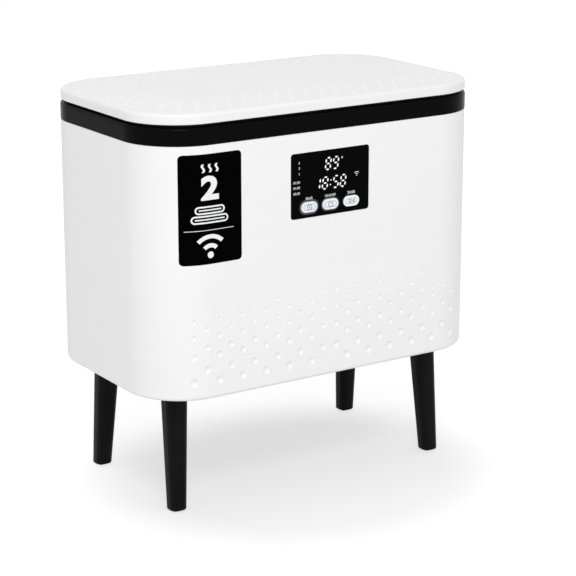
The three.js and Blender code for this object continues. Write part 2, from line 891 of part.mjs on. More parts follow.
function makeLidCover() {
  const roundInset = lidInset + lidTopRound;
  const roundHeight = lidTop - lidTopRound;
  const cover = sweepRound(bodyPlan, [
    [coverInside, ceiling],
    [coverInside, lidBottom],
    [lidInset + lidBottomRound, lidBottom],
    [lidInset, lidBottom + lidBottomRound],
    ...arcProfile(roundInset, roundHeight, lidTopRound, 0, quarter),
  ], planCornerSteps);
  const bossBottom = stepBottom + linerWall + seatGap;
  const bossTop = ceiling + lidWall / 2;
  const bosses = lidBossPlaces.map(([x, y]) => post(lidBossRadius, bossBottom, bossTop, x, y));
  const holes = lidBossPlaces.map(([x, y]) =>
    post(lidScrewRadius + pinGap, bossBottom - cutOverrun, ceiling, x, y));
  const notchDepth = lidWall + 2 * cutOverrun;
  const notchY = rearPlane - lidInset - lidWall / 2;
  const notches = Object.values(sides).map((side) => block(
    armWidth + 2 * hingeSideGap,
    notchDepth,
    lidBottom - cutOverrun,
    armTop + seatGap,
    side * hingeHalfSpacing,
    notchY,
  ));
  return cut(fuse(cover, bosses), [...holes, ...notches, ...lidDimples()]);
}

function armOutline() {
  const root = rearPlane - armReach;
  const rise = linerBottom - hingeZ;
  const start = Math.PI - Math.asin(rise / barrelRadius);
  const outline = new THREE.Shape();
  outline.moveTo(root, linerBottom);
  outline.absarc(hingeY, hingeZ, barrelRadius, start, quarter + 2 * Math.PI, false);
  outline.lineTo(root, armTop);
  outline.closePath();
  return outline;
}

function makeLidLiner() {
  const edge = coverInside + seatGap;
  const pan = sweepRound(bodyPlan, [
    [plugInset + linerWall, plugBottom],
    [plugInset, plugBottom + linerWall],
    [plugInset, stepBottom],
    [linerStepInset, stepBottom],
    [linerStepInset, linerBottom],
    [edge, linerBottom],
    [edge, linerTop],
    [linerStepInset + linerWall, linerTop],
    [linerStepInset + linerWall, stepBottom + linerWall],
    [plugInset + linerWall, stepBottom + linerWall],
    [plugInset + linerWall, plugBottom + linerWall],
  ], planCornerSteps);
  const halfArm = armWidth / 2;
  const arms = Object.values(sides).map((side) =>
    along(armOutline(), side * hingeHalfSpacing - halfArm, side * hingeHalfSpacing + halfArm));
  const bores = Object.values(sides).map((side) => {
    const reach = halfArm + cutOverrun;
    const middle = side * hingeHalfSpacing;
    return crossPin(hingePinRadius + pinGap, middle - reach, middle + reach, hingeY, hingeZ);
  });
  const holes = lidBossPlaces.map(([x, y]) =>
    post(lidScrewRadius + pinGap, stepBottom - cutOverrun, stepBottom + linerWall + cutOverrun, x, y));
  return cut(fuse(pan, arms), [...bores, ...holes]);
}

function makeLidPad() {
  const inset = plugInset + linerWall + seatGap;
  const bottom = plugBottom + linerWall + seatGap;
  return sweepRound(bodyPlan, [[inset, bottom], [inset, ceiling - seatGap]], planCornerSteps);
}

function makeLidSeal() {
  const top = stepBottom - seatGap;
  const bottom = bucketMouth + seatGap;
  const lip = sealInset + sealWidth - sealLipWidth;
  return sweepRound(bodyPlan, [
    [sealInset + sealLipWidth, bottom],
    [sealInset, top],
    [sealInset + sealWidth, top],
    [lip, bottom],
  ], planCornerSteps, true);
}

function makeHingePin(side) {
  const reach = armWidth / 2 + hingeSideGap + lugWidth;
  const middle = side * hingeHalfSpacing;
  return crossPin(hingePinRadius, middle - reach, middle + reach, hingeY, hingeZ);
}

function makeCordGland() {
  const wallOutside = rearPlane - shellInset;
  const wallInside = wallOutside - shellWall;
  const outline = [
    [glandBoreRadius, wallInside - seatGap - glandLipThickness],
    [glandLipRadius, wallInside - seatGap - glandLipThickness],
    [glandLipRadius, wallInside - seatGap],
    [glandNeckRadius, wallInside - seatGap],
    [glandNeckRadius, wallOutside + seatGap],
    [glandFlangeRadius, wallOutside + seatGap],
    [glandFlangeRadius, wallOutside + glandFlangeThickness / 2 + seatGap],
    [glandNeckRadius, wallOutside + glandFlangeThickness + seatGap],
    [glandBoreRadius, wallOutside + glandFlangeThickness + seatGap],
    [glandBoreRadius, wallInside - seatGap - glandLipThickness],
  ].map(([radius, depth]) => new THREE.Vector2(radius, depth));
  const geometry = new THREE.LatheGeometry(outline, pinSides);
  geometry.translate(glandX, 0, glandZ);
  return geometry;
}

// Power electronics

function makePowerBoard() {
  const bottom = plateTop + boardPostHeight + seatGap;
  const plate = block(powerBoardWidth, powerBoardDepth, bottom, bottom + boardThickness, powerBoardX, 0);
  const holes = powerPostPlaces.map(([x, y]) =>
    post(boardScrewRadius + pinGap, bottom - cutOverrun, bottom + boardThickness + cutOverrun, x, y));
  return cut(plate, holes);
}

function makePowerScrew([x, y]) {
  const boardTop = plateTop + boardPostHeight + seatGap + boardThickness;
  const length = boardThickness + boardPostHeight / 2;
  const geometry = screw(boardScrewRadius, boardScrewHeadRadius, boardScrewHeadHeight, length, 0, 0, 0);
  geometry.rotateX(Math.PI);
  geometry.translate(x, y, boardTop + seatGap + boardScrewHeadHeight);
  return geometry;
}

function makeComponent({ width, depth, height, xShare, yShare }) {
  const bottom = plateTop + boardPostHeight + 2 * seatGap + boardThickness;
  const x = powerBoardX + powerBoardWidth * xShare;
  return block(width, depth, bottom, bottom + height, x, powerBoardDepth * yShare);
}

const underBucket = bucketUnderside - seatGap;

// The scene: everything that stands still, the lid, and the three buttons

const warmer = new THREE.Group();
warmer.position.y = planShift;

const body = new THREE.Group();
const lid = new THREE.Group();
const buttons = new THREE.Group();
warmer.add(body, lid, buttons);

body.add(
  named("outer_shell", makeOuterShell(), finishes.whiteShell),
  named("collar", makeCollar(), finishes.blackTrim),
  named("base_plate", makeBasePlate(), finishes.blackTrim),
  named("inner_bucket", makeInnerBucket(), finishes.bucketMetal),
  named(
    "heater_film",
    makeWrap(seatGap, heaterThickness, bucketUnderside + heaterBottomMargin, bucketMouth - heaterTopMargin),
    finishes.film,
  ),
  named(
    "insulation_wrap",
    makeWrap(
      2 * seatGap + heaterThickness,
      wrapThickness,
      bucketUnderside + wrapBottomMargin,
      ledgeTop - ledgeThickness - wrapTopMargin,
    ),
    finishes.felt,
  ),
);

legPlaces().forEach((place) => {
  const pad = block(padSize, padSize, 0, padThickness, place.footX, place.footY);
  const studBottom = legTop - legSocketDepth + seatGap;
  const stud = post(studRadius, studBottom, plateTop + legBossHeight, place.x, place.y);
  body.add(
    named(`leg_${place.name}`, makeLeg(place), finishes.blackLeg),
    named(`foot_pad_${place.name}`, pad, finishes.rubber),
    named(`leg_stud_${place.name}`, stud, finishes.steel),
  );
});

pillarPlaces.forEach(([x, y], index) => {
  const length = plateScrewReach;
  const fixing = screw(
    plateScrewRadius, plateScrewHeadRadius, plateScrewHeadHeight - seatGap, length, x, y, shellBottom);
  body.add(named(`base_screw_${index + 1}`, fixing, finishes.steel));
});

body.add(
  named("panel_window", makePanelWindow(), finishes.blackGloss),
  named("panel_housing", makePanelHousing(), finishes.blackTrim),
  named("control_board", makeControlBoard(), finishes.board),
  named("display_module", makeDisplayModule(), finishes.component),
  named("wifi_module", makeWifiModule(), finishes.steel),
);
controlPostPlaces().forEach(([x, z], index) => {
  body.add(named(`panel_screw_${index + 1}`, makeControlScrew(x, z), finishes.steel));
});

buttonPlaces().forEach((place) => {
  body.add(named(`switch_${place.name}`, makeSwitch(place), finishes.component));
  buttons.add(named(`button_${place.name}`, makeButton(place), finishes.milkyCap));
});

body.add(named("power_board", makePowerBoard(), finishes.board));
powerPostPlaces.forEach((place, index) => {
  body.add(named(`board_screw_${index + 1}`, makePowerScrew(place), finishes.steel));
});
Object.entries(boardComponents).forEach(([name, size]) => {
  body.add(named(name, makeComponent(size), finishes.component));
});

const fuseBody = crossPin(
  fuseRadius, fuseX - fuseLength / 2, fuseX + fuseLength / 2, 0, underBucket - fuseRadius, postSides);
body.add(
  named(
    "thermostat",
    post(thermostatRadius, underBucket - thermostatHeight, underBucket, thermostatX, 0),
    finishes.component,
  ),
  named("thermal_fuse", fuseBody, finishes.steel),
  named(
    "temperature_sensor",
    block(sensorWidth, sensorDepth, underBucket - sensorHeight, underBucket, sensorX, sensorY),
    finishes.component,
  ),
  named("cord_gland", makeCordGland(), finishes.rubber),
);

Object.entries(sides).forEach(([name, side]) => {
  body.add(named(`hinge_pin_${name}`, makeHingePin(side), finishes.steel));
});

lid.add(
  named("lid_cover", makeLidCover(), finishes.whiteLid),
  named("lid_liner", makeLidLiner(), finishes.blackTrim),
  named("lid_pad", makeLidPad(), finishes.felt),
  named("lid_seal", makeLidSeal(), finishes.rubber),
);
lidBossPlaces.forEach(([x, y], index) => {
  const length = linerWall + lidBossRadius;
  const headBottom = stepBottom - seatGap - lidScrewHeadHeight;
  const fixing = screw(lidScrewRadius, lidScrewHeadRadius, lidScrewHeadHeight, length, x, y, headBottom);
  lid.add(named(`lid_screw_${index + 1}`, fixing, finishes.steel));
});

export default warmer;
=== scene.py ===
import bpy
import bmesh
import json
import math
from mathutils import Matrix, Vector


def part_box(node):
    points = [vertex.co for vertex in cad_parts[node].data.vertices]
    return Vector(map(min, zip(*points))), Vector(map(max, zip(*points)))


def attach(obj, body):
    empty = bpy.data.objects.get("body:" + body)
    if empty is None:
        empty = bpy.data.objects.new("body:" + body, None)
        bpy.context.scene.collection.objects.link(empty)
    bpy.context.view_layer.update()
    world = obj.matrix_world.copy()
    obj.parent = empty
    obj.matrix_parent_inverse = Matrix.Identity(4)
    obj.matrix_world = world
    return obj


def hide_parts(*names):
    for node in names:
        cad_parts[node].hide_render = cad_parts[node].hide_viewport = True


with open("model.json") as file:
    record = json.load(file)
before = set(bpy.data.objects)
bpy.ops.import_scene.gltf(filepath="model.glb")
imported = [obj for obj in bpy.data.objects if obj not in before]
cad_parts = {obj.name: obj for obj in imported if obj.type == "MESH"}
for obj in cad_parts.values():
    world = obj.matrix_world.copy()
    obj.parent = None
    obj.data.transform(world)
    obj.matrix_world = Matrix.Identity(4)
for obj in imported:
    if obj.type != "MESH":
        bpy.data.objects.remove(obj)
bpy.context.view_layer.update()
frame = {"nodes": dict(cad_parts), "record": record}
nodes = frame["nodes"]
print("frame loaded,", len(nodes), "nodes")

# metres, floor at zero, front facing -Y
bodyPlan = {"width": 0.420, "depth": 0.250, "cornerRadius": 0.064, "cornerSegments": 32}
shellLow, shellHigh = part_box("outer_shell")
planCentre = (shellLow + shellHigh) / 2
frontFace = planCentre.y - bodyPlan["depth"] / 2
rearFace = planCentre.y + bodyPlan["depth"] / 2


# camera, at the photo's angle
photoCamera = {
    "place": (-1.1382, -1.7699, 0.7900),
    "yaw": 33.49,
    "pitchDown": 14.885,
    "lens": 122.25,
    "sensor": 36.0,
    "shiftY": -0.05,
}


def setCamera(settings):
    turn = (math.radians(90 - settings["pitchDown"]), 0, -math.radians(settings["yaw"]))
    bpy.ops.object.camera_add(location=settings["place"], rotation=turn)
    camera = bpy.context.active_object
    camera.data.lens = settings["lens"]
    camera.data.sensor_width = settings["sensor"]
    camera.data.shift_y = settings["shiftY"]
    bpy.context.scene.camera = camera


setCamera(photoCamera)
print("camera set")


# modelling steps that most pieces share

def toObjectMode():
    if bpy.context.object and bpy.context.object.mode != "OBJECT":
        bpy.ops.object.mode_set(mode="OBJECT")


def pickOnly(*pieces):
    # the first piece becomes the active one, and with no piece nothing stays selected
    toObjectMode()
    bpy.ops.object.select_all(action="DESELECT")
    for piece in reversed(pieces):
        piece.select_set(True)
        bpy.context.view_layer.objects.active = piece


def editAll(piece):
    pickOnly(piece)
    bpy.ops.object.mode_set(mode="EDIT")
    bpy.ops.mesh.select_mode(type="FACE")
    bpy.ops.mesh.select_all(action="SELECT")


def settle(*pieces):
    pickOnly(*pieces)
    bpy.ops.object.transform_apply(location=True, rotation=True, scale=True)


def named(name):
    piece = bpy.context.active_object
    piece.name = name
    return piece


facings = {"up": (0, 0, 0), "front": (math.pi / 2, 0, 0), "side": (0, math.pi / 2, 0)}


def startPlate(name, width, height, radius, centre, facing="up", segments=8):
    # a flat plate with rounded corners, left in edit mode with its face selected
    pickOnly()
    bpy.ops.mesh.primitive_plane_add(size=1, location=centre, rotation=facings[facing])
    plate = named(name)
    plate.scale = (width, height, 1)
    settle(plate)
    editAll(plate)
    if radius > 0:
        bpy.ops.mesh.bevel(offset=radius, segments=segments, affect="VERTICES")
        bpy.ops.mesh.remove_doubles(threshold=1e-6)
        bpy.ops.mesh.select_all(action="SELECT")
    return plate


def startBodyPlate(name, inset, height):
    # the body's own plan, drawn in by an inset
    return startPlate(
        name, bodyPlan["width"] - 2 * inset, bodyPlan["depth"] - 2 * inset, bodyPlan["cornerRadius"] - inset,
        (planCentre.x, planCentre.y, height), segments=bodyPlan["cornerSegments"])


def makeBar(name, radius, length, centre, facing="up", sides=48):
    pickOnly()
    bpy.ops.mesh.primitive_cylinder_add(
        vertices=sides, radius=radius, depth=length, location=centre, rotation=facings[facing])
    return named(name)


def makeBlock(name, width, height, radius, centre, reach, facing="up", segments=8, mergeDistance=1e-6):
    # a plate drawn out by its reach, to cut with
    block = startPlate(name, width, height, radius, centre, facing, segments)
    extrudeBy(reach)
    tidyMesh(block, mergeDistance)
    return block


def extrudeBy(offset):
    bpy.ops.mesh.extrude_region_move(TRANSFORM_OT_translate={"value": offset})


def insetSteps(*steps):
    # each step draws the selected face in and moves it along its normal
    for thickness, depth in steps:
        bpy.ops.mesh.inset(thickness=thickness, depth=depth)


def roundOver(width, height, segments):
    # steps of a quarter round that starts along the wall and ends along the face
    turns = [math.pi / 2 * step / segments for step in range(segments + 1)]
    return [
        (width * (math.cos(start) - math.cos(end)), height * (math.sin(end) - math.sin(start)))
        for start, end in zip(turns, turns[1:])
    ]


def roundInto(width, height, segments):
    # steps of a quarter round that starts along the face and ends along the wall
    return [(across, along) for along, across in roundOver(height, width, segments)]


def selectFaces(piece, wanted):
    bpy.ops.mesh.select_mode(type="FACE")
    bpy.ops.mesh.select_all(action="DESELECT")
    shape = bmesh.from_edit_mesh(piece.data)
    for face in shape.faces:
        face.select_set(wanted(face.calc_center_median(), face.normal))
    bmesh.update_edit_mesh(piece.data)


def selectEnd(piece, facing):
    # the level faces at the piece's top, or at its underside where facing is -1
    end = max(facing * corner.co.z for corner in bmesh.from_edit_mesh(piece.data).verts)
    selectFaces(piece, lambda place, normal: facing * normal.z > 0.9 and facing * place.z > end - 1e-5)


def turnFacesOut():
    bpy.ops.mesh.select_all(action="SELECT")
    bpy.ops.mesh.normals_make_consistent(inside=False)


def tidyMesh(piece, mergeDistance=1e-6):
    bpy.ops.mesh.select_all(action="SELECT")
    bpy.ops.mesh.remove_doubles(threshold=mergeDistance)
    turnFacesOut()
    toObjectMode()


def applyModifier(piece, kind, **settings):
    pickOnly(piece)
    bpy.ops.object.modifier_add(type=kind)
    modifier = piece.modifiers[-1]
    for key, value in settings.items():
        setattr(modifier, key, value)
    bpy.ops.object.modifier_apply(modifier=modifier.name)


def booleanWith(piece, tool, operation="DIFFERENCE"):
    applyModifier(piece, "BOOLEAN", operation=operation, object=tool, solver="EXACT")
    bpy.data.objects.remove(tool)


def roundRims(piece, width):
    applyModifier(
        piece, "BEVEL", width=width, segments=3, limit_method="ANGLE", angle_limit=math.radians(60))


def joinPieces(name, pieces):
    pickOnly(*pieces)
    bpy.ops.object.join()
    return named(name)


def smoothEdges(piece, sharpAngle):
    pickOnly(piece)
    bpy.ops.object.shade_smooth_by_angle(angle=math.radians(sharpAngle))
    applyModifier(piece, "WEIGHTED_NORMAL", keep_sharp=True, weight=50)


def finishPiece(piece, body, slot, *replaced, sharpAngle=30, material=None):
    smoothEdges(piece, sharpAngle)
    piece.data.materials.clear()
    piece.data.materials.append(material or finishes[slot])
    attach(piece, body)
    if replaced:
        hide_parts(*replaced)
    return piece


# flat marks, drawn on a plane that faces the front

def frontPlate(name, width, height, radius, place, segments=6):
    plate = startPlate(name, width, height, radius, place, "front", segments)
    toObjectMode()
    return plate


def frontRing(name, width, height, radius, line, place, segments=12):
    # an outline as wide as the line
    ring = startPlate(name, width, height, radius, place, "front", segments)
    insetSteps((line, 0))
    bpy.ops.mesh.delete(type="FACE")
    toObjectMode()
    return ring


def trimMark(mark, place, direction):
    # what lies on the side that the direction points to is cut off
    editAll(mark)
    bpy.ops.mesh.bisect(plane_co=place, plane_no=direction, clear_outer=True)
    toObjectMode()


def wirelessMark(place, height, line):
    # a dot and two arcs over it, a quarter turn wide
    size = 1.6 * line
    marks = [frontPlate("wireless_dot", size, size, size / 2, place)]
    for share in (0.56, 1.0):
        reach = height * share
        arc = frontRing("wireless_arc", 2 * reach, 2 * reach, reach, line, place, segments=16)
        for side in (-1, 1):
            trimMark(arc, place, (side, 0, -1))
        marks.append(arc)
    return marks


def printNumber(text, height, place, align="CENTER", weight=0.03, stretch=1.0):
    # lettering is made a mesh before its place is applied
    capitalShare = 0.7
    pickOnly()
    bpy.ops.object.text_add(location=(0, 0, 0))
    number = named("printed_number")
    number.data.body = text
    number.data.size = height / capitalShare
    number.data.align_x = align
    number.data.align_y = "CENTER"
    number.data.resolution_u = 3
    number.data.offset = height * weight
    bpy.ops.object.convert(target="MESH")
    number = bpy.context.active_object
    number.rotation_euler = facings["front"]
    number.scale = (stretch, 1, 1)
    number.location = place
    settle(number)
    return number


def thicken(piece, thickness):
    # a flat mark is drawn out towards the front and closed
    editAll(piece)
    extrudeBy((0, -thickness, 0))
    tidyMesh(piece, 1e-7)
    return piece


# materials

def shaderInput(material, name):
    return material.node_tree.nodes["Principled BSDF"].inputs[name]


def startMaterial(name, colour, roughness, metallic=0.0, specular=0.5):
    material = bpy.data.materials.new(name)
    material.use_nodes = True
    shaderInput(material, "Base Color").default_value = (*colour, 1)
    shaderInput(material, "Roughness").default_value = roughness
    shaderInput(material, "Metallic").default_value = metallic
    shaderInput(material, "Specular IOR Level").default_value = specular
    return material


def lightUp(material, colour, strength):
    shaderInput(material, "Emission Color").default_value = (*colour, 1)
    shaderInput(material, "Emission Strength").default_value = strength
    return material


def addNode(owner, kind, **values):
    # the owner is a material or the world
    node = owner.node_tree.nodes.new(kind)
    for key, value in values.items():
        if key in node.inputs:
            node.inputs[key].default_value = value
        else:
            setattr(node, key, value)
    return node


def link(owner, source, target):
    owner.node_tree.links.new(source, target)


def patternOn(material, kind, stretch=(1, 1, 1), **values):
    # a pattern that follows the piece itself
    place = addNode(material, "ShaderNodeTexCoord")
    mapping = addNode(material, "ShaderNodeMapping", Scale=stretch)
    pattern = addNode(material, kind, **values)
    link(material, place.outputs["Object"], mapping.inputs["Vector"])
    link(material, mapping.outputs["Vector"], pattern.inputs["Vector"])
    return pattern.outputs


def noiseOn(material, scale, detail=3.0, stretch=(1, 1, 1)):
    return patternOn(material, "ShaderNodeTexNoise", stretch, Scale=scale, Detail=detail)["Fac"]


# the part of a noise's range that nearly all of it fills
noiseSpan = (0.3, 0.7)


def varyColour(material, source, low, high):
    ramp = addNode(material, "ShaderNodeValToRGB")
    for stop, position, colour in zip(ramp.color_ramp.elements, noiseSpan, (low, high)):
        stop.position = position
        stop.color = (*colour, 1)
    link(material, source, ramp.inputs["Fac"])
    link(material, ramp.outputs["Color"], shaderInput(material, "Base Color"))


def spreadOver(material, source, span, reach, **how):
    # the source's span is spread over the reach
    spread = addNode(material, "ShaderNodeMapRange", **how)
    for key, value in zip(("From Min", "From Max", "To Min", "To Max"), (*span, *reach)):
        spread.inputs[key].default_value = value
    link(material, source, spread.inputs["Value"])
    return spread.outputs["Result"]


def varyRoughness(material, source, low, high):
    link(material, spreadOver(material, source, noiseSpan, (low, high)), shaderInput(material, "Roughness"))


def addBump(material, source, strength, distance):
    bump = addNode(material, "ShaderNodeBump", Strength=strength, Distance=distance)
    link(material, source, bump.inputs["Height"])
    link(material, bump.outputs["Normal"], shaderInput(material, "Normal"))


mouldedFinishes = {
    # tone range, roughness range, mould grain scale and depth
    "white_shell": {"low": 0.872, "high": 0.886, "rough": (0.40, 0.46), "grain": 1400, "depth": 0.00003},
    "white_lid": {"low": 0.844, "high": 0.858, "rough": (0.32, 0.40), "grain": 1400, "depth": 0.00003},
    "black_trim": {"low": 0.0014, "high": 0.0020, "rough": (0.18, 0.24), "grain": 1200, "depth": 0.00004},
    "black_leg": {"low": 0.0034, "high": 0.0046, "rough": (0.34, 0.42), "grain": 900, "depth": 0.00006},
    "rubber": {"low": 0.011, "high": 0.015, "rough": (0.80, 0.92), "grain": 700, "depth": 0.00008},
    "component": {"low": 0.020, "high": 0.032, "rough": (0.45, 0.60), "grain": 900, "depth": 0.00004},
}


def mouldedPlastic(name, settings, specular):
    material = startMaterial(name, (settings["high"],) * 3, settings["rough"][0], specular=specular)
    cloud = noiseOn(material, 9.0)
    varyColour(material, cloud, (settings["low"],) * 3, (settings["high"],) * 3)
    varyRoughness(material, noiseOn(material, 38.0), *settings["rough"])
    addBump(material, noiseOn(material, settings["grain"], 2.0), 0.25, settings["depth"])
    return material


specularLevels = {"white_shell": 0.42, "white_lid": 0.40, "black_trim": 0.035, "black_leg": 0.07}
finishes = {
    name: mouldedPlastic(name, settings, specularLevels.get(name, 0.3))
    for name, settings in mouldedFinishes.items()
}


def glossyBlack():
    material = startMaterial("black_gloss", (0.0012, 0.0012, 0.0013), 0.07, specular=0.02)
    varyRoughness(material, noiseOn(material, 60.0), 0.05, 0.09)
    return material


def milkyCap(name, colour, glow):
    # white moulding lit from behind
    material = lightUp(startMaterial(name, colour, 0.32, specular=0.4), colour, glow)
    varyRoughness(material, noiseOn(material, 120.0), 0.28, 0.38)
    return material


def brushedMetal(name, colour, roughness, stretch):
    # fine lines, drawn out along the way that the metal was brushed
    material = startMaterial(name, colour, roughness, metallic=1.0)
    streaks = noiseOn(material, 700.0, 3.0, stretch)
    varyRoughness(material, streaks, roughness - 0.03, roughness + 0.04)
    varyColour(material, streaks, tuple(0.94 * tone for tone in colour), colour)
    addBump(material, streaks, 0.06, 0.00002)
    return material


def feltFibre():
    material = startMaterial("felt", (0.60, 0.57, 0.52), 0.95, specular=0.1)
    fibres = noiseOn(material, 420.0, 6.0)
    varyColour(material, fibres, (0.50, 0.47, 0.42), (0.66, 0.63, 0.58))
    addBump(material, fibres, 0.8, 0.0006)
    return material


def heaterFilm():
    # a lacquered film with close heating tracks
    material = startMaterial("film", (0.50, 0.20, 0.05), 0.35)
    tracks = patternOn(material, "ShaderNodeTexWave", bands_direction="Z", Scale=22.0)
    varyColour(material, tracks["Fac"], (0.42, 0.15, 0.03), (0.58, 0.26, 0.08))
    return material


def circuitBoard():
    material = startMaterial("board", (0.015, 0.10, 0.035), 0.35)
    tracks = patternOn(
        material, "ShaderNodeTexBrick", Scale=160.0, Color1=(0.012, 0.085, 0.030, 1),
        Color2=(0.014, 0.100, 0.036, 1), Mortar=(0.030, 0.180, 0.070, 1))
    link(material, tracks["Color"], shaderInput(material, "Base Color"))
    return material


def litMark(name, colour, strength):
    return lightUp(startMaterial(name, (0.02, 0.02, 0.02), 0.4), colour, strength)


def printedInk(name, tone, roughness, specular):
    material = startMaterial(name, tone, roughness, specular=specular)
    speckle = noiseOn(material, 500.0)
    varyRoughness(material, speckle, roughness - 0.04, roughness + 0.04)
    addBump(material, speckle, 0.1, 0.00002)
    return material


finishes["black_gloss"] = glossyBlack()
finishes["milky_cap"] = milkyCap("milky_cap", (0.78, 0.79, 0.82), 0.15)
finishes["bucket_metal"] = brushedMetal("bucket_metal", (0.60, 0.61, 0.62), 0.36, (1, 1, 0.04))
finishes["steel"] = brushedMetal("steel", (0.50, 0.50, 0.51), 0.30, (0.1, 1, 1))
finishes["felt"] = feltFibre()
finishes["film"] = heaterFilm()
finishes["board"] = circuitBoard()
linerBlack = mouldedPlastic(
    "liner_black", {"low": 0.007, "high": 0.009, "rough": (0.36, 0.44), "grain": 1200, "depth": 0.00005},
    0.18)
litCap = milkyCap("milky_cap_lit", (0.75, 0.78, 0.87), 0.10)
displayLight = litMark("display_light", (1.0, 1.0, 1.0), 1.0)
faintPrint = litMark("faint_print", (1.0, 1.0, 1.0), 0.62)
capInk = printedInk("cap_ink", (0.20, 0.21, 0.25), 0.5, 0.3)
labelBlack = printedInk("label_black", (0.0005, 0.0005, 0.0006), 0.42, 0.01)
labelWhite = printedInk("label_white", (0.86, 0.86, 0.86), 0.5, 0.2)

for row in frame["record"]["subparts"]:
    carried = nodes[row["node"]].data.materials
    carried.clear()
    carried.append(finishes[row["material_slot"]])
print("materials made,", len(finishes), "slots")


# dimples: one shallow lens, modelled once with a rim of radius one, is copied to each place and cut away

dimpleLens = {"depthShare": 0.45, "sides": 16, "rings": 20, "proudShare": 0.12}


def makeLens(settings):
    # the deepest point lies at -depth, and the lens looks up
    depth = settings["depthShare"]
    ball = (1 + depth * depth) / (2 * depth)
    pickOnly()
    bpy.ops.mesh.primitive_uv_sphere_add(
        segments=settings["sides"], ring_count=settings["rings"], radius=ball,
        location=(0, 0, ball - depth))
    lens = named("dimple_lens")
    settle(lens)
    editAll(lens)
    bpy.ops.mesh.bisect(
        plane_co=(0, 0, settings["proudShare"]), plane_no=(0, 0, 1), use_fill=True, clear_outer=True)
    toObjectMode()
    return lens


def dimpleTool(name, lens, spots):
    # each copy of the lens has its own mesh, and a spot is its place, turn and radius
    copies = []
    for place, turn, radius in spots:
        copy = lens.copy()
        copy.data = lens.data.copy()
        bpy.context.scene.collection.objects.link(copy)
        copy.location, copy.rotation_euler, copy.scale = place, turn, (radius,) * 3
        copies.append(copy)
    bpy.data.objects.remove(lens)
    tool = joinPieces(name, copies)
    settle(tool)
    return tool


frontDimples = {
    "columns": 12,
    "pitch": 0.0143,
    "middleGap": 0.017,
    "lowest": shellLow.z + 0.0195,
    "band": 0.075,
    "largest": 0.0046,
    "smallest": 0.0020,
    "upperShares": (0.173, 0.487, 0.753, 1.0),
    "lowerShares": (0.0, 0.367, 0.64, 0.873),
}
shellInset = 0.0003


def faceOfFront(reach, inset):
    # a place on the outer face, and how far the face has turned there
    straight = bodyPlan["width"] / 2 - bodyPlan["cornerRadius"]
    radius = bodyPlan["cornerRadius"] - inset
    turn = max(reach - straight, 0) / radius
    x = min(reach, straight) + radius * math.sin(turn)
    y = frontFace + bodyPlan["cornerRadius"] - radius * math.cos(turn)
    return x, y, turn


def frontDimpleTool(settings):
    spots = []
    for column in range(settings["columns"]):
        x, y, turn = faceOfFront(settings["middleGap"] / 2 + column * settings["pitch"], shellInset)
        shares = settings["lowerShares"] if column % 2 else settings["upperShares"]
        for share in shares:
            radius = settings["largest"] + (settings["smallest"] - settings["largest"]) * share
            height = settings["lowest"] + settings["band"] * share
            for side in (-1, 1):
                spots.append(((planCentre.x + side * x, y, height), (math.pi / 2, 0, side * turn), radius))
    return dimpleTool("front_dimple_tool", makeLens(dimpleLens), spots)


# outer shell: a sleeve with a rounded hem, dimples, and holes for the panel and the cord gland

shellSettings = {
    "wall": 0.003, "hemRadius": 0.004, "hemSegments": 8,
    "glandHole": 0.0063, "cutInside": 0.008, "cut": 0.012,
}
panelSettings = {
    "width": 0.0985, "height": 0.069, "corner": 0.003, "thickness": 0.0025, "drop": 0.056,
    "gap": 0.0003, "edge": 0.0004, "rim": 0.0022, "recess": 0.00025, "slotInside": 0.002, "slotCut": 0.006,
}
collarSettings = {
    "height": 0.0185, "seatGap": 0.0003, "underRound": 0.0006, "topRound": 0.003, "topDrop": 0.0034,
    "rim": 0.007, "ledgeDrop": 0.0098, "ledgeReach": 0.016, "ledgeThickness": 0.003,
    "skirtInset": 0.0036, "skirtThickness": 0.003, "skirtDepth": 0.011,
}
collarBottom = shellHigh.z + collarSettings["seatGap"]
collarTop = collarBottom + collarSettings["height"]
panelCentre = (planCentre.x, frontFace, collarBottom - panelSettings["drop"])
glandLow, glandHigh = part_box("cord_gland")
glandCentre = (glandLow + glandHigh) / 2


def makeShell(settings):
    shell = startBodyPlate("shell_moulding", shellInset, shellLow.z + settings["hemRadius"])
    extrudeBy((0, 0, shellHigh.z - shellLow.z - settings["hemRadius"]))
    bpy.ops.mesh.delete(type="FACE")
    selectEnd(shell, -1)
    insetSteps(*roundOver(settings["hemRadius"], settings["hemRadius"], settings["hemSegments"]))
    bpy.ops.mesh.delete(type="FACE")
    tidyMesh(shell)
    applyModifier(shell, "SOLIDIFY", thickness=settings["wall"], offset=-1, use_even_offset=True)
    gap = panelSettings["gap"]
    booleanWith(shell, makeBlock(
        "panel_opening", panelSettings["width"] + 2 * gap, panelSettings["height"] + 2 * gap,
        panelSettings["corner"] + gap, (panelCentre[0], frontFace + settings["cutInside"], panelCentre[2]),
        (0, -settings["cut"], 0), "front"))
    booleanWith(shell, makeBar(
        "gland_hole", settings["glandHole"], settings["cut"],
        (glandCentre.x, rearFace, glandCentre.z), "front"))
    booleanWith(shell, frontDimpleTool(frontDimples))
    return finishPiece(shell, "root", "white_shell", "outer_shell", sharpAngle=20)


shell = makeShell(shellSettings)
print("outer shell made,", len(shell.data.polygons), "faces")


# label on the front: black film that follows the shell round its corner, with white pictograms

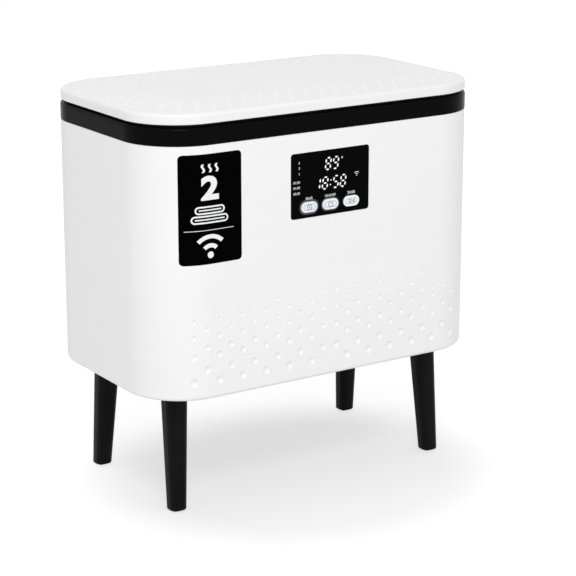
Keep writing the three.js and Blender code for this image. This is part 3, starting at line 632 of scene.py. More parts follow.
labelSettings = {
    "left": -0.1790, "right": -0.1097, "markShift": -0.0024, "low": 0.276, "high": 0.390, "corner": 0.0045,
    "film": 0.00010, "ink": 0.00004, "lift": 0.00003, "inkLift": 0.00001, "strip": 0.0025,
    "drawnAt": frontFace - 0.02,
    "wave": {"shares": (0.090, 0.162), "spacing": 0.0078, "swing": 0.0011, "line": 0.0026, "steps": 20},
    "count": {"text": "2", "share": 0.318, "height": 0.0228, "weight": 0.060, "stretch": 1.22},
    "stack": {"folds": ((0.505, 0.034), (0.590, 0.042)), "height": 0.0084, "line": 0.0017, "hem": 0.0014},
    "divider": {"share": 0.688, "width": 0.055, "line": 0.0006},
    "wireless": {"share": 0.915, "height": 0.0215, "line": 0.0044},
}


def labelPlace(share):
    # the marks stand left of the middle, where the film turns round the corner
    middle = (labelSettings["left"] + labelSettings["right"]) / 2 + labelSettings["markShift"]
    height = labelSettings["high"] - share * (labelSettings["high"] - labelSettings["low"])
    return Vector((middle, labelSettings["drawnAt"], height))


def heatStroke(offset, settings):
    # a short bar whose upper edge is carried up in steps that swing to both sides
    x, y, high = labelPlace(settings["shares"][0])
    low = labelPlace(settings["shares"][1])[2]
    rise = (high - low) / settings["steps"]
    swings = [
        settings["swing"] * math.sin(2 * math.pi * step / settings["steps"])
        for step in range(settings["steps"] + 1)
    ]
    stroke = startPlate("heat_stroke", settings["line"], rise, 0, (x + offset, y, low - rise / 2), "front")
    bpy.ops.mesh.select_mode(type="EDGE")
    bpy.ops.mesh.select_all(action="DESELECT")
    drawing = bmesh.from_edit_mesh(stroke.data)
    for edge in drawing.edges:
        edge.select_set(all(corner.co.z > low - rise / 4 for corner in edge.verts))
    bmesh.update_edit_mesh(stroke.data)
    for previous, swing in zip(swings, swings[1:]):
        extrudeBy((swing - previous, 0, rise))
    toObjectMode()
    return stroke


def layOnShell(piece, lift, thickness):
    # cut into narrow strips, laid on the shell from the front, and given its thickness
    strips = round((labelSettings["right"] - labelSettings["left"]) / labelSettings["strip"])
    editAll(piece)
    for strip in range(1, strips):
        edge = labelSettings["left"] + strip * labelSettings["strip"]
        bpy.ops.mesh.select_all(action="SELECT")
        bpy.ops.mesh.bisect(plane_co=(edge, 0, 0), plane_no=(1, 0, 0))
    toObjectMode()
    applyModifier(
        piece, "SHRINKWRAP", target=shell, wrap_method="PROJECT", wrap_mode="ABOVE_SURFACE",
        use_project_y=True, use_positive_direction=True, use_negative_direction=False, offset=lift)
    applyModifier(piece, "SOLIDIFY", thickness=thickness, offset=1)


def makeLabel(settings):
    width = settings["right"] - settings["left"]
    film = frontPlate(
        "front_label", width, settings["high"] - settings["low"], settings["corner"],
        labelPlace(0.5) - Vector((settings["markShift"], 0, 0)))
    layOnShell(film, settings["lift"], settings["film"])
    finishPiece(film, "root", "black_gloss", material=labelBlack)

    wave, stack = settings["wave"], settings["stack"]
    marks = [heatStroke(step * wave["spacing"], wave) for step in (-1, 0, 1)]
    count = settings["count"]
    marks.append(printNumber(
        count["text"], count["height"], labelPlace(count["share"]), weight=count["weight"],
        stretch=count["stretch"]))
    for share, width in stack["folds"]:
        marks.append(frontRing(
            "stack_fold", width, stack["height"], stack["height"] / 2, stack["line"], labelPlace(share),
            segments=8))
        marks.append(frontPlate("stack_hem", width - stack["height"], stack["hem"], 0, labelPlace(share)))
    marks.append(frontPlate(
        "divider", settings["divider"]["width"], settings["divider"]["line"], 0,
        labelPlace(settings["divider"]["share"])))
    wireless = settings["wireless"]
    marks += wirelessMark(labelPlace(wireless["share"]), wireless["height"], wireless["line"])
    pictograms = joinPieces("label_pictograms", marks)
    layOnShell(pictograms, settings["lift"] + settings["film"] + settings["inkLift"], settings["ink"])
    finishPiece(pictograms, "root", "white_shell", material=labelWhite)


makeLabel(labelSettings)
print("label laid on the shell")


# hinge: four lugs on the collar, two arms on the liner, two pins

pinLow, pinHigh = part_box("hinge_pin_right")
hingeSettings = {
    "y": (pinLow.y + pinHigh.y) / 2,
    "z": (pinLow.z + pinHigh.z) / 2,
    "spacing": (pinLow.x + pinHigh.x) / 2,
    "barrel": 0.005,
    "pin": 0.002,
    "pinGap": 0.00015,
    "armWidth": 0.024,
    "lugWidth": 0.006,
    "sideGap": 0.0004,
    "lugRoot": rearFace - 0.0015,
    "lugRootDrop": 0.013,
    "lugShoulderDrop": 0.002,
    "armRoot": rearFace - 0.010,
    "sides": 48,
    "edge": 0.0005,
    "lugBore": 0.05,
    "armBore": 0.03,
    "pinEdge": 0.0004,
    "pinSides": 32,
}


def barrelAcross(name, radius, middle, width, sides=hingeSettings["sides"]):
    barrel = makeBar(name, radius, width, (middle, hingeSettings["y"], hingeSettings["z"]), "side", sides)
    settle(barrel)
    return barrel


def makeLug(middle, settings):
    # a barrel drawn together with its root in the collar's rear face
    lug = barrelAcross("hinge_lug", settings["barrel"], middle, settings["lugWidth"])
    editAll(lug)
    high = settings["z"] - settings["lugShoulderDrop"]
    low = settings["z"] - settings["lugRootDrop"]
    root = (middle, settings["lugRoot"], (high + low) / 2)
    bpy.ops.mesh.primitive_plane_add(size=1, rotation=facings["front"], location=root)
    bpy.ops.transform.resize(value=(settings["lugWidth"], 1, high - low), center_override=root)
    bpy.ops.mesh.select_all(action="SELECT")
    bpy.ops.mesh.convex_hull()
    toObjectMode()
    roundRims(lug, settings["edge"])
    return lug


def drillHinge(piece, side, width):
    settings = hingeSettings
    radius = settings["pin"] + settings["pinGap"]
    booleanWith(piece, barrelAcross("hinge_bore", radius, side * settings["spacing"], width))


def makeCollar(settings):
    base = collarBottom + settings["underRound"]
    collar = startBodyPlate("collar_moulding", 0, base)
    extrudeBy((0, 0, collarTop - settings["topDrop"] - base))
    insetSteps(
        *roundOver(settings["topRound"], settings["topDrop"], 6),
        (settings["rim"] - settings["topRound"], 0),
        (0, -settings["ledgeDrop"]),
        (settings["ledgeReach"] - settings["rim"], 0),
        (0, -settings["ledgeThickness"]),
    )
    bpy.ops.mesh.delete(type="FACE")
    selectEnd(collar, -1)
    underLedge = collarTop - settings["ledgeDrop"] - settings["ledgeThickness"]
    skirtInside = settings["skirtInset"] + settings["skirtThickness"]
    insetSteps(
        *roundOver(settings["underRound"], settings["underRound"], 3),
        (settings["skirtInset"] - settings["underRound"], 0),
        (0, settings["skirtDepth"]),
        (settings["skirtThickness"], 0),
        (0, -(settings["skirtDepth"] + underLedge - collarBottom)),
        (settings["ledgeReach"] - skirtInside, 0),
    )
    bpy.ops.mesh.delete(type="FACE")
    tidyMesh(collar, 1e-5)
    hinge = hingeSettings
    offset = hinge["armWidth"] / 2 + hinge["sideGap"] + hinge["lugWidth"] / 2
    for side in (-1, 1):
        for flank in (-1, 1):
            booleanWith(collar, makeLug(side * hinge["spacing"] + flank * offset, hinge), "UNION")
        drillHinge(collar, side, hinge["lugBore"])
    finishPiece(collar, "root", "black_trim", "collar")


makeCollar(collarSettings)
print("collar made")


# inner bucket: a flange on the collar's ledge, and drawn walls with a rounded base

bucketLow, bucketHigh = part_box("inner_bucket")
bucketSettings = {
    "flangeInset": 0.0073, "flange": 0.002, "wallInset": 0.024, "wall": 0.002, "draft": 0.003,
    "baseRound": 0.010, "mouthRound": 0.0012, "floorInset": 0.014, "floorStep": 0.003, "floorRise": 0.0012,
}


def makeBucket(settings):
    mouth, floor = bucketHigh.z, bucketLow.z
    mouthRound, baseRound = settings["mouthRound"], settings["baseRound"]
    bucket = startBodyPlate("bucket_pressing", settings["flangeInset"], mouth - settings["flange"])
    extrudeBy((0, 0, settings["flange"]))
    selectEnd(bucket, -1)
    insetSteps(
        (settings["wallInset"] - settings["flangeInset"], 0),
        (settings["draft"], mouth - settings["flange"] - floor - baseRound),
        *roundOver(baseRound, baseRound, 8),
    )
    selectEnd(bucket, 1)
    innerEdge = settings["wallInset"] + settings["wall"]
    innerRound = baseRound - settings["wall"]
    innerWall = mouth - floor - settings["wall"] - innerRound - mouthRound
    insetSteps(
        (innerEdge - settings["flangeInset"] - mouthRound, 0),
        *roundInto(mouthRound, -mouthRound, 5),
        (settings["draft"], -innerWall),
        *roundOver(innerRound, -innerRound, 8),
        (settings["floorInset"], 0),
        (settings["floorStep"], settings["floorRise"]),
    )
    tidyMesh(bucket)
    finishPiece(bucket, "root", "bucket_metal", "inner_bucket")


makeBucket(bucketSettings)
print("inner bucket made")


# base plate, seen from below, with a shallow step and pockets for its screws

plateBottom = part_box("base_plate")[0].z
plateSettings = {
    "inset": shellInset + shellSettings["hemRadius"] + 0.0003,
    "thickness": 0.003, "edge": 0.0004, "step": 0.012, "stepWidth": 0.0006, "stepRise": 0.0008,
    "screws": 4, "pocketRadius": 0.0038, "pocketDepth": 0.0018, "pocketSides": 32,
}


def makeBasePlate(settings):
    plate = startBodyPlate("base_moulding", settings["inset"], plateBottom + settings["edge"])
    extrudeBy((0, 0, settings["thickness"] - settings["edge"]))
    selectEnd(plate, -1)
    insetSteps(
        (settings["edge"], settings["edge"]),
        (settings["step"], 0),
        (settings["stepWidth"], -settings["stepRise"]),
    )
    tidyMesh(plate)
    for number in range(1, settings["screws"] + 1):
        low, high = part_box(f"base_screw_{number}")
        middle = (low + high) / 2
        booleanWith(plate, makeBar(
            "screw_pocket", settings["pocketRadius"], 2 * settings["pocketDepth"],
            (middle.x, middle.y, plateBottom), sides=settings["pocketSides"]))
    finishPiece(plate, "root", "black_trim", "base_plate")


makeBasePlate(plateSettings)
print("base plate made")


# legs: square tapered posts with rounded corners, splayed to the outside

legSettings = {
    "topSize": 0.0260, "footSize": 0.0190, "roundShare": 0.38, "splayX": 0.0045, "splayY": 0.010,
    "footEdge": 0.0012, "padSize": 0.012, "padGap": 0.0003, "pocket": 0.0018, "padRound": 0.0026,
    "padEdge": 0.0004,
}


def makeLeg(place, settings):
    low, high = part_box(f"leg_{place}")
    padLow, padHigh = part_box(f"foot_pad_{place}")
    padCentre = (padLow + padHigh) / 2
    sideX = 1 if padCentre.x > planCentre.x else -1
    sideY = 1 if padCentre.y > planCentre.y else -1
    topSize, footSize, footEdge = settings["topSize"], settings["footSize"], settings["footEdge"]
    drop = Vector((sideX * settings["splayX"], sideY * settings["splayY"], -(high.z - low.z - footEdge)))
    topCentre = Vector((padCentre.x - drop.x, padCentre.y - drop.y, high.z))
    leg = startPlate(
        f"leg_post_{place}", topSize, topSize, topSize * settings["roundShare"], topCentre, segments=10)
    extrudeBy(drop)
    share = footSize / topSize
    bpy.ops.transform.resize(value=(share, share, 1), center_override=topCentre + drop)
    tidyMesh(leg)
    editAll(leg)
    selectEnd(leg, -1)
    pocketInset = (footSize - settings["padSize"]) / 2 - footEdge - settings["padGap"]
    insetSteps(*roundOver(footEdge, footEdge, 4), (pocketInset, 0), (0, -settings["pocket"]))
    tidyMesh(leg)
    finishPiece(leg, "root", "black_leg", f"leg_{place}")

    padEdge = settings["padEdge"]
    pad = startPlate(
        f"foot_pad_soft_{place}", settings["padSize"], settings["padSize"], settings["padRound"],
        (padCentre.x, padCentre.y, padLow.z + padEdge), segments=6)
    extrudeBy((0, 0, low.z + settings["pocket"] - padEdge))
    selectEnd(pad, -1)
    insetSteps(*roundOver(padEdge, padEdge, 3))
    tidyMesh(pad)
    finishPiece(pad, "root", "rubber", f"foot_pad_{place}")


for end in ("front", "rear"):
    for side in ("left", "right"):
        makeLeg(f"{end}_{side}", legSettings)
print("legs made")


# lid cover: a flat top with rounded edges and a band of small dimples

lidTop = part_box("lid_cover")[1].z
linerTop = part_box("lid_liner")[1].z
lidSettings = {
    "inset": 0.0005, "gap": 0.003, "topRound": 0.0035, "bottomRound": 0.001, "wall": 0.0027,
    "dimpleRows": 4, "dimpleRowPitch": 0.0155, "dimpleFromEdge": 0.015, "dimplePitch": 0.019,
    "dimpleRadius": 0.0030, "dimpleDepth": 0.0012,
    "notchDepth": 0.012, "notchGap": 0.0003, "notchStart": 0.002,
}
lidBottom = collarTop + lidSettings["gap"]


def placeOnPlan(inset, share):
    # a place along the body's plan, drawn in by an inset, from the middle of the front and round
    radius = bodyPlan["cornerRadius"] - inset
    halfX = bodyPlan["width"] / 2 - bodyPlan["cornerRadius"]
    halfY = bodyPlan["depth"] / 2 - bodyPlan["cornerRadius"]
    corner = radius * math.pi / 2
    way = share * (4 * halfX + 4 * halfY + 4 * corner)
    if way <= halfX:
        return way, -halfY - radius
    way -= halfX
    for turn, side in ((0, 2 * halfY), (1, 2 * halfX), (2, 2 * halfY), (3, halfX)):
        angle = (turn - 1) * math.pi / 2
        centre = Vector(((1, 1, -1, -1)[turn] * halfX, (-1, 1, 1, -1)[turn] * halfY))
        if way <= corner:
            angle += way / radius
            return centre.x + radius * math.cos(angle), centre.y + radius * math.sin(angle)
        way -= corner
        if way <= side:
            angle += math.pi / 2
            out = Vector((math.cos(angle), math.sin(angle)))
            return centre + out * radius + Vector((-out.y, out.x)) * way
        way -= side


def lidDimpleTool(settings):
    straight = 2 * (bodyPlan["width"] + bodyPlan["depth"]) - 8 * bodyPlan["cornerRadius"]
    spots = []
    for row in range(settings["dimpleRows"]):
        inset = settings["inset"] + settings["dimpleFromEdge"] + row * settings["dimpleRowPitch"]
        length = straight + 2 * math.pi * (bodyPlan["cornerRadius"] - inset)
        count = round(length / settings["dimplePitch"])
        for step in range(count):
            x, y = placeOnPlan(inset, (step + (row % 2) / 2) / count)
            place = (planCentre.x + x, planCentre.y + y, lidTop)
            spots.append((place, (0, 0, 0), settings["dimpleRadius"]))
    depthShare = settings["dimpleDepth"] / settings["dimpleRadius"]
    return dimpleTool("lid_dimple_tool", makeLens({**dimpleLens, "depthShare": depthShare}), spots)


def makeLidCover(settings):
    topRound, bottomRound = settings["topRound"], settings["bottomRound"]
    cover = startBodyPlate("lid_moulding", settings["inset"], lidBottom + bottomRound)
    extrudeBy((0, 0, lidTop - topRound - lidBottom - bottomRound))
    insetSteps(*roundOver(topRound, topRound, 10))
    selectEnd(cover, -1)
    insetSteps(
        *roundOver(bottomRound, bottomRound, 4),
        (settings["wall"] - bottomRound, 0),
        (0, -(lidTop - settings["wall"] - lidBottom)),
    )
    tidyMesh(cover)
    hinge = hingeSettings
    start = lidBottom - settings["notchStart"]
    for side in (-1, 1):
        booleanWith(cover, makeBlock(
            "arm_notch", hinge["armWidth"] + 2 * hinge["sideGap"], settings["notchDepth"], 0,
            (side * hinge["spacing"], rearFace, start), (0, 0, linerTop + settings["notchGap"] - start)))
    booleanWith(cover, lidDimpleTool(settings))
    finishPiece(cover, "lid", "white_lid", "lid_cover", sharpAngle=12)


makeLidCover(lidSettings)
print("lid cover made")


# lid liner: a stepped pan that dips into the bucket, with two hinge arms, and the seal under its step

linerSettings = {
    "edge": 0.0035, "bottom": lidBottom + 0.0003, "flange": 0.002, "stepInset": 0.0079,
    "stepDepth": 0.0065, "wall": 0.0025, "plugInset": 0.028, "plugDepth": 0.010,
    "rimInset": 0.018, "rimWidth": 0.0015, "rimRise": 0.0008,
}
sealSettings = {
    "inset": 0.012, "lipStart": 0.0001, "lipWidth": 0.0015, "flat": 0.001, "width": 0.004,
}


def makeArm(middle, settings):
    # the barrel's upper front faces are drawn forwards as a flat tongue
    arm = barrelAcross("hinge_arm", settings["barrel"], middle, settings["armWidth"])
    editAll(arm)
    floor = settings["z"] + 0.9 * (linerSettings["bottom"] - settings["z"])
    selectFaces(arm, lambda place, normal: (
        abs(normal.x) < 0.5 and place.y < settings["y"] and place.z > floor))
    extrudeBy((0, settings["armRoot"] - settings["y"], 0))
    bpy.ops.transform.resize(value=(1, 0, 1), center_override=(middle, settings["armRoot"], settings["z"]))
    tidyMesh(arm)
    return arm


def makeLidLiner(settings):
    wall, bottom = settings["wall"], settings["bottom"]
    stepBottom = lidBottom - settings["stepDepth"]
    plugStep = settings["plugInset"] - settings["stepInset"]
    liner = startBodyPlate("liner_moulding", settings["edge"], bottom)
    extrudeBy((0, 0, settings["flange"]))
    selectEnd(liner, -1)
    insetSteps(
        (settings["stepInset"] - settings["edge"], 0),
        (0, bottom - stepBottom),
        (plugStep, 0),
        (0, settings["plugDepth"] - wall),
        *roundOver(wall, wall, 5),
        (settings["rimInset"], 0),
        (settings["rimWidth"], -settings["rimRise"]),
    )
    selectEnd(liner, 1)
    insetSteps(
        (settings["stepInset"] + wall - settings["edge"], 0),
        (0, -(bottom + settings["flange"] - stepBottom - wall)),
        (plugStep, 0),
        (0, -settings["plugDepth"]),
    )
    tidyMesh(liner)
    for side in (-1, 1):
        booleanWith(liner, makeArm(side * hingeSettings["spacing"], hingeSettings), "UNION")
        drillHinge(liner, side, hingeSettings["armBore"])
    finishPiece(liner, "lid", "black_trim", "lid_liner", material=linerBlack)


def makeSeal(settings):
    # a closed ring: a flat top, and a rounded lip below
    low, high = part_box("lid_seal")
    start, lip = settings["lipStart"], settings["lipWidth"]
    seal = startBodyPlate("lid_seal_ring", settings["inset"], high.z)
    extrudeBy((0, 0, -start))
    turnFacesOut()
    selectEnd(seal, -1)
    rise = high.z - low.z - start
    insetSteps(*roundInto(lip, rise, 5), (settings["flat"], 0), (lip, -rise - start))
    bpy.ops.mesh.delete(type="FACE")
    selectEnd(seal, 1)
    insetSteps((settings["width"], 0))
    bpy.ops.mesh.delete(type="FACE")
    tidyMesh(seal, 1e-5)
    finishPiece(seal, "lid", "rubber", "lid_seal")


def makePin(side, middle, settings):
    pin = barrelAcross(
        f"hinge_pin_round_{side}", settings["pin"], middle, pinHigh.x - pinLow.x, settings["pinSides"])
    roundRims(pin, settings["pinEdge"])
    finishPiece(pin, "root", "steel", f"hinge_pin_{side}")


makeLidLiner(linerSettings)
makeSeal(sealSettings)
for side, direction in (("left", -1), ("right", 1)):
    makePin(side, direction * hingeSettings["spacing"], hingeSettings)
print("lid liner, seal and hinge pins made")


# control panel window, with slots for the buttons and a screen set just behind its rim

buttonSettings = {
    "width": 0.020, "height": 0.0114, "proud": 0.001, "edgeRound": 0.0008, "gap": 0.0003,
    "dishInset": 0.0021, "dishWidth": 0.0005, "dishDepth": 0.00018, "behindGlass": 0.0009,
}
buttonNames = ("timer", "power", "delay")


def buttonCentre(name):
    low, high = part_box(f"button_{name}")
    return (low + high) / 2


def capOval(growth):
    # width, height and corner radius of a cap that is grown on all sides
    width, height = buttonSettings["width"], buttonSettings["height"]
    return width + 2 * growth, height + 2 * growth, height / 2 + growth


def makeWindow(settings):
    back = frontFace + settings["thickness"]
    window = startPlate(
        "panel_glass", settings["width"], settings["height"], settings["corner"],
        (panelCentre[0], back, panelCentre[2]), "front")
    extrudeBy((0, -(settings["thickness"] - settings["edge"]), 0))
    insetSteps(
        *roundOver(settings["edge"], settings["edge"], 3),
        (settings["rim"], 0),
        (settings["recess"], -settings["recess"]),
    )
    tidyMesh(window)
    for name in buttonNames:
        centre = buttonCentre(name)
        booleanWith(window, makeBlock(
            "button_slot", *capOval(buttonSettings["gap"]),
            (centre.x, back + settings["slotInside"], centre.z), (0, -settings["slotCut"], 0),
            "front", 16, 1e-5))
    finishPiece(window, "root", "black_gloss", "panel_window")


def makeButton(name, settings):
    centre = buttonCentre(name)
    back = frontFace + panelSettings["thickness"] + settings["behindGlass"]
    button = startPlate(f"button_cap_{name}", *capOval(0), (centre.x, back, centre.z), "front", 16)
    extrudeBy((0, frontFace - settings["proud"] + settings["edgeRound"] - back, 0))
    insetSteps(
        *roundOver(settings["edgeRound"], settings["edgeRound"], 5),
        (settings["dishInset"] - settings["edgeRound"], 0),
        (settings["dishWidth"], -settings["dishDepth"]),
    )
    tidyMesh(button, 1e-5)
    finishPiece(button, f"button_{name}", "milky_cap", f"button_{name}")
    if name != "delay":
        button.data.materials[0] = litCap


makeWindow(panelSettings)
for name in buttonNames:
    makeButton(name, buttonSettings)
print("panel and buttons made")


# display: lit digits behind the glass, faint print beside them, and numbers over the buttons

displaySettings = {
    "halfHeight": 0.0061, "halfWidth": 0.0030, "line": 0.0016, "taper": 0.0011,
    "lengthX": 0.0039, "lengthZ": 0.0041, "slant": math.radians(8), "proud": 0.00010, "sink": 0.00005,
    "upper": {"z": 0.0200, "digits": (("8", -0.0027), ("9", 0.0068))},
    "lower": {"z": -0.0003, "digits": (("1", -0.0162), ("8", -0.0066), ("5", 0.0071), ("8", 0.0162))},
    "colon": {"x": 0.0005, "spread": 0.0024, "size": 0.0014},
    "degree": {"x": 0.0148, "z": 0.0247, "size": 0.0022, "line": 0.0006},
    "levels": {"texts": ("3", "2", "1"), "z": (0.0244, 0.0189, 0.0128), "height": 0.0026},
    "times": {"texts": ("01:30", "01:00", "00:30"), "z": (0.0041, -0.0016, -0.0076), "height": 0.0026},
    "rightEdge": -0.0382, "printWeight": 0.02,
    "wireless": {"x": 0.0337, "z": 0.0033, "height": 0.0042, "line": 0.0008},
    "overButtons": {"texts": ("00:00", "ON/OFF", "24:00"), "z": -0.0143, "heights": (0.0027, 0.0027, 0.0031)},
}
litSegments = {
    # top, upper left, upper right, middle, lower left, lower right, bottom
    "1": (0, 0, 1, 0, 0, 1, 0), "5": (1, 1, 0, 1, 0, 1, 1),
    "8": (1, 1, 1, 1, 1, 1, 1), "9": (1, 1, 1, 1, 0, 1, 1),
}
screenDepth = frontFace + panelSettings["recess"] + displaySettings["sink"]


def panelPlace(x, z):
    return panelCentre[0] + x, screenDepth, panelCentre[2] + z


def segmentBar(x, z, upright, settings):
    # a bar with pointed ends, drawn thick and pressed flat; an upright one leans with the digit
    length = settings["lengthZ"] if upright else settings["lengthX"]
    drawn = 2 * settings["taper"]
    bar = frontPlate("digit_segment", length, drawn, 0.495 * drawn, (0, 0, 0), segments=1)
    bar.scale = (1, 1, settings["line"] / drawn)
    bar.rotation_euler = (0, math.pi / 2 + settings["slant"] if upright else 0, 0)
    bar.location = panelPlace(x, z)
    return bar


def makeDigit(character, x, z, settings):
    wide, high = settings["halfWidth"], settings["halfHeight"]
    places = (
        (0, high, False), (-wide, high / 2, True), (wide, high / 2, True), (0, 0, False),
        (-wide, -high / 2, True), (wide, -high / 2, True), (0, -high, False),
    )
    lean = math.tan(settings["slant"])
    return [
        segmentBar(x + across + up * lean, z + up, upright, settings)
        for lit, (across, up, upright) in zip(litSegments[character], places) if lit
    ]


def makeDisplay(settings):
    marks = []
    for row in (settings["upper"], settings["lower"]):
        for character, x in row["digits"]:
            marks += makeDigit(character, x, row["z"], settings)
    colon = settings["colon"]
    for side in (-1, 1):
        lean = side * colon["spread"] * math.tan(settings["slant"])
        place = panelPlace(colon["x"] + lean, settings["lower"]["z"] + side * colon["spread"])
        marks.append(frontPlate("colon_dot", colon["size"], colon["size"], colon["size"] / 2.02, place))
    settle(*marks)
    digits = thicken(joinPieces("display_digits", marks), settings["sink"] + settings["proud"])
    finishPiece(digits, "root", "milky_cap", material=displayLight)


def makePanelPrint(settings):
    marks = []
    for group in (settings["levels"], settings["times"]):
        for text, z in zip(group["texts"], group["z"]):
            place = panelPlace(settings["rightEdge"], z)
            marks.append(printNumber(text, group["height"], place, "RIGHT", settings["printWeight"]))
    wireless = settings["wireless"]
    marks += wirelessMark(panelPlace(wireless["x"], wireless["z"]), wireless["height"], wireless["line"])
    over = settings["overButtons"]
    for name, text, height in zip(buttonNames, over["texts"], over["heights"]):
        place = panelPlace(buttonCentre(name).x - panelCentre[0], over["z"])
        marks.append(printNumber(text, height, place, weight=settings["printWeight"]))
    degree = settings["degree"]
    marks.append(frontRing(
        "degree_mark", degree["size"], degree["size"], degree["size"] / 2, degree["line"],
        panelPlace(degree["x"], degree["z"]), segments=6))
    printed = thicken(joinPieces("panel_print", marks), settings["sink"] + settings["proud"])
    finishPiece(printed, "root", "milky_cap", material=faintPrint)


haloSettings = {
    "tone": (0.86, 0.90, 1.0),
    # width and strength of each ring, from the cap outwards
    "timer": ((0.0005, 0.055), (0.0006, 0.026), (0.0008, 0.010)),
    "power": ((0.0005, 0.018), (0.0007, 0.007)),
}


def makeHalo(name, settings):
    # light that a lit cap throws on the glass round it
    centre = buttonCentre(name)
    edge = buttonSettings["gap"]
    for number, (width, strength) in enumerate(settings[name]):
        glow = litMark(f"cap_glow_{name}_{number}", settings["tone"], strength)
        edge += width
        halo = frontRing(
            f"cap_halo_{name}_{number}", *capOval(edge), width,
            panelPlace(centre.x - panelCentre[0], centre.z - panelCentre[2]))
        thicken(halo, displaySettings["sink"] + displaySettings["proud"] / 2)
        finishPiece(halo, "root", "milky_cap", material=glow)


makeDisplay(displaySettings)
makePanelPrint(displaySettings)
makeHalo("timer", haloSettings)
makeHalo("power", haloSettings)
print("display made")


# icons printed on the button caps: a clock, a power mark and a list with a clock

iconSettings = {
    "size": 0.0064, "line": 0.00075, "ovalInset": 0.0026, "ovalLine": 0.00040,
    "ink": 0.00005, "sink": 0.00002,
}


def clockMark(place, size, line):
    x, y, z = place
    rim = frontRing("clock_rim", size, size, size / 2, line, place, segments=10)
    upright = frontPlate("clock_hand", line, size * 0.30, 0, (x, y, z + size * 0.13))
    across = frontPlate("clock_hand", size * 0.22, line, 0, (x + size * 0.11 - line / 2, y, z - line / 2))
    return [rim, upright, across]


def powerMark(place, size, line):
    # a ring open at its top, with a bar in the opening
    x, y, z = place
    opening = 0.65
    marks = []
    for side in (-1, 1):
        half = frontRing("power_arc", size, size, size / 2, line, place, segments=10)
        trimMark(half, place, (-side, 0, 0))
        trimMark(half, place, (-side * math.cos(opening), 0, math.sin(opening)))
        marks.append(half)
    marks.append(frontPlate("power_bar", line, size * 0.5, 0, (x, y, z + size * 0.32)))
    return marks


def listMark(place, size, line):
    x, y, z = place
    rows = [
        frontPlate("list_row", size * 0.62, line, 0, (x - size * 0.30, y, z + step * size * 0.24))
        for step in (-1, 0, 1)
    ]
    return rows + clockMark((x + size * 0.42, y, z - size * 0.04), size * 0.62, line * 0.85)


def makeButtonIcon(name, draw, settings):
    centre = buttonCentre(name)
    depth = frontFace - buttonSettings["proud"] + buttonSettings["dishDepth"] + settings["sink"]
    place = (centre.x, depth, centre.z)
    oval = frontRing("icon_oval", *capOval(-settings["ovalInset"]), settings["ovalLine"], place)
    marks = [oval, *draw(place, settings["size"], settings["line"])]
    icon = thicken(joinPieces(f"button_icon_{name}", marks), settings["ink"] + settings["sink"])
    finishPiece(icon, f"button_{name}", "component", material=capInk)


makeButtonIcon("timer", clockMark, iconSettings)
makeButtonIcon("power", powerMark, iconSettings)
makeButtonIcon("delay", listMark, iconSettings)
print("button icons made")


# cord gland in the rear wall, empty

glandSettings = {
    "flange": 0.0085, "neck": 0.006, "bore": 0.0038, "boreRound": 0.0006, "proud": 0.002, "sides": 48,
}


def makeGland(settings):
    flange, neck, bore, boreRound = (settings[key] for key in ("flange", "neck", "bore", "boreRound"))
    half = settings["proud"] / 2
    wall = glandHigh.y - settings["proud"]
    pickOnly()
    bpy.ops.mesh.primitive_circle_add(
        vertices=settings["sides"], radius=flange, fill_type="NGON",
        location=(glandCentre.x, wall, glandCentre.z), rotation=(-math.pi / 2, 0, 0))
    gland = named("cord_bush")
    settle(gland)
    editAll(gland)
    extrudeBy((0, half, 0))
    turnFacesOut()
    selectFaces(gland, lambda place, normal: normal.y > 0.9)
    insetSteps(
        *roundOver(half, half, 5),
        (flange - half - bore - boreRound, 0),
        *roundInto(boreRound, -boreRound, 4),
        (0, -(glandHigh.y - glandLow.y - boreRound)),
    )
    bpy.ops.mesh.delete(type="FACE")
    selectFaces(gland, lambda place, normal: normal.y < -0.9)
    insetSteps((flange - neck, 0), (0, wall - glandLow.y), (neck - bore, 0))
    bpy.ops.mesh.delete(type="FACE")
    tidyMesh(gland, 1e-5)
    finishPiece(gland, "root", "rubber", "cord_gland")


makeGland(glandSettings)
print("cord gland made")


# surroundings: a pale floor and soft light

studioSettings = {
    "worldStrength": 0.68,
    "floorSize": 40.0,
    "floorHeight": -0.0002,
    # the floor's tone as a surface that light falls on, and as it is seen
    "floorTone": 0.84,
    "floorSeen": 0.33,
    # painted shadow: seen directly, the floor glows less in a soft pool round the object
    "paintedShadowPool": {
        "centre": (0.0, -0.07), "reach": (0.25, 0.23), "shares": (0.62, 1.12), "lift": (0.62, 0.79),
    },
    "lamps": [
        {"place": (-1.15, -2.02, 2.3), "aim": (0, 0, 0.25), "size": 0.9, "power": 37.0},
        {"place": (1.3, 2.2, 0.16), "aim": (0, 0, 0.16), "size": 0.28, "power": 14.0},
    ],
}


def seenDirectly(owner):
    # one for rays from the camera, mirror-like rays and rays through glass
    path = addNode(owner, "ShaderNodeLightPath").outputs
    seen = path["Is Camera Ray"]
    for ray in ("Is Glossy Ray", "Is Transmission Ray"):
        either = addNode(owner, "ShaderNodeMath", operation="MAXIMUM")
        link(owner, seen, either.inputs[0])
        link(owner, path[ray], either.inputs[1])
        seen = either.outputs[0]
    return seen


def makeWorld(settings):
    world = bpy.data.worlds.new("white_studio")
    bpy.context.scene.world = world
    world.use_nodes = True
    background = world.node_tree.nodes["Background"]
    background.inputs["Color"].default_value = (1, 1, 1, 1)
    strength = addNode(world, "ShaderNodeMix", A=settings["worldStrength"], B=1.0)
    link(world, seenDirectly(world), strength.inputs["Factor"])
    link(world, strength.outputs["Result"], background.inputs["Strength"])


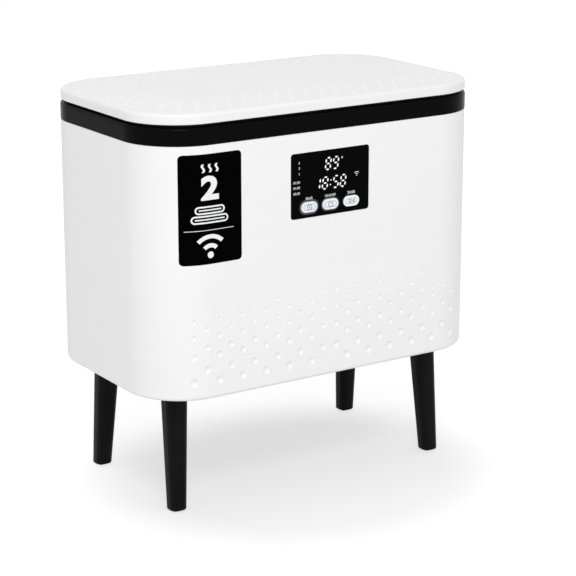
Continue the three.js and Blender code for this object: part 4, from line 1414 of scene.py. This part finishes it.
def makeFloor(settings):
    # seen directly it is white far off, and a little darker in a painted shadow: a soft pool round the object
    # where the floor glows less
    pickOnly()
    bpy.ops.mesh.primitive_plane_add(size=settings["floorSize"], location=(0, 0, settings["floorHeight"]))
    floor = named("studio_floor")
    material = startMaterial("studio_floor", (settings["floorTone"],) * 3, 0.9, specular=0.0)
    seen = seenDirectly(material)
    tone = addNode(material, "ShaderNodeMix", data_type="RGBA")
    tone.inputs[6].default_value = (*(settings["floorTone"],) * 3, 1)
    tone.inputs[7].default_value = (*(settings["floorSeen"],) * 3, 1)
    link(material, seen, tone.inputs[0])
    link(material, tone.outputs[2], shaderInput(material, "Base Color"))

    pool = settings["paintedShadowPool"]
    (x, y), (reachX, reachY) = pool["centre"], pool["reach"]
    place = addNode(material, "ShaderNodeTexCoord")
    mapping = addNode(
        material, "ShaderNodeMapping",
        Location=(-x / reachX, -y / reachY, 0), Scale=(1 / reachX, 1 / reachY, 0))
    distance = addNode(material, "ShaderNodeVectorMath", operation="LENGTH")
    link(material, place.outputs["Object"], mapping.inputs["Vector"])
    link(material, mapping.outputs["Vector"], distance.inputs[0])
    # the glow is lowest inside the pool, which paints a shadow over the floor's real shadows
    lift = spreadOver(
        material, distance.outputs["Value"], pool["shares"], pool["lift"], interpolation_type="SMOOTHSTEP")
    strength = addNode(material, "ShaderNodeMath", operation="MULTIPLY")
    link(material, lift, strength.inputs[0])
    link(material, seen, strength.inputs[1])
    shaderInput(material, "Emission Color").default_value = (1, 1, 1, 1)
    link(material, strength.outputs["Value"], shaderInput(material, "Emission Strength"))
    floor.data.materials.append(material)


def makeLamp(settings):
    place, aim = Vector(settings["place"]), Vector(settings["aim"])
    turn = (aim - place).to_track_quat("-Z", "Y").to_euler()
    bpy.ops.object.light_add(type="AREA", location=place, rotation=turn)
    lamp = bpy.context.active_object
    lamp.data.shape = "SQUARE"
    lamp.data.size = settings["size"]
    lamp.data.energy = settings["power"]


makeWorld(studioSettings)
makeFloor(studioSettings)
for lamp in studioSettings["lamps"]:
    makeLamp(lamp)
bpy.context.scene.view_settings.view_transform = "Standard"
print("studio made")
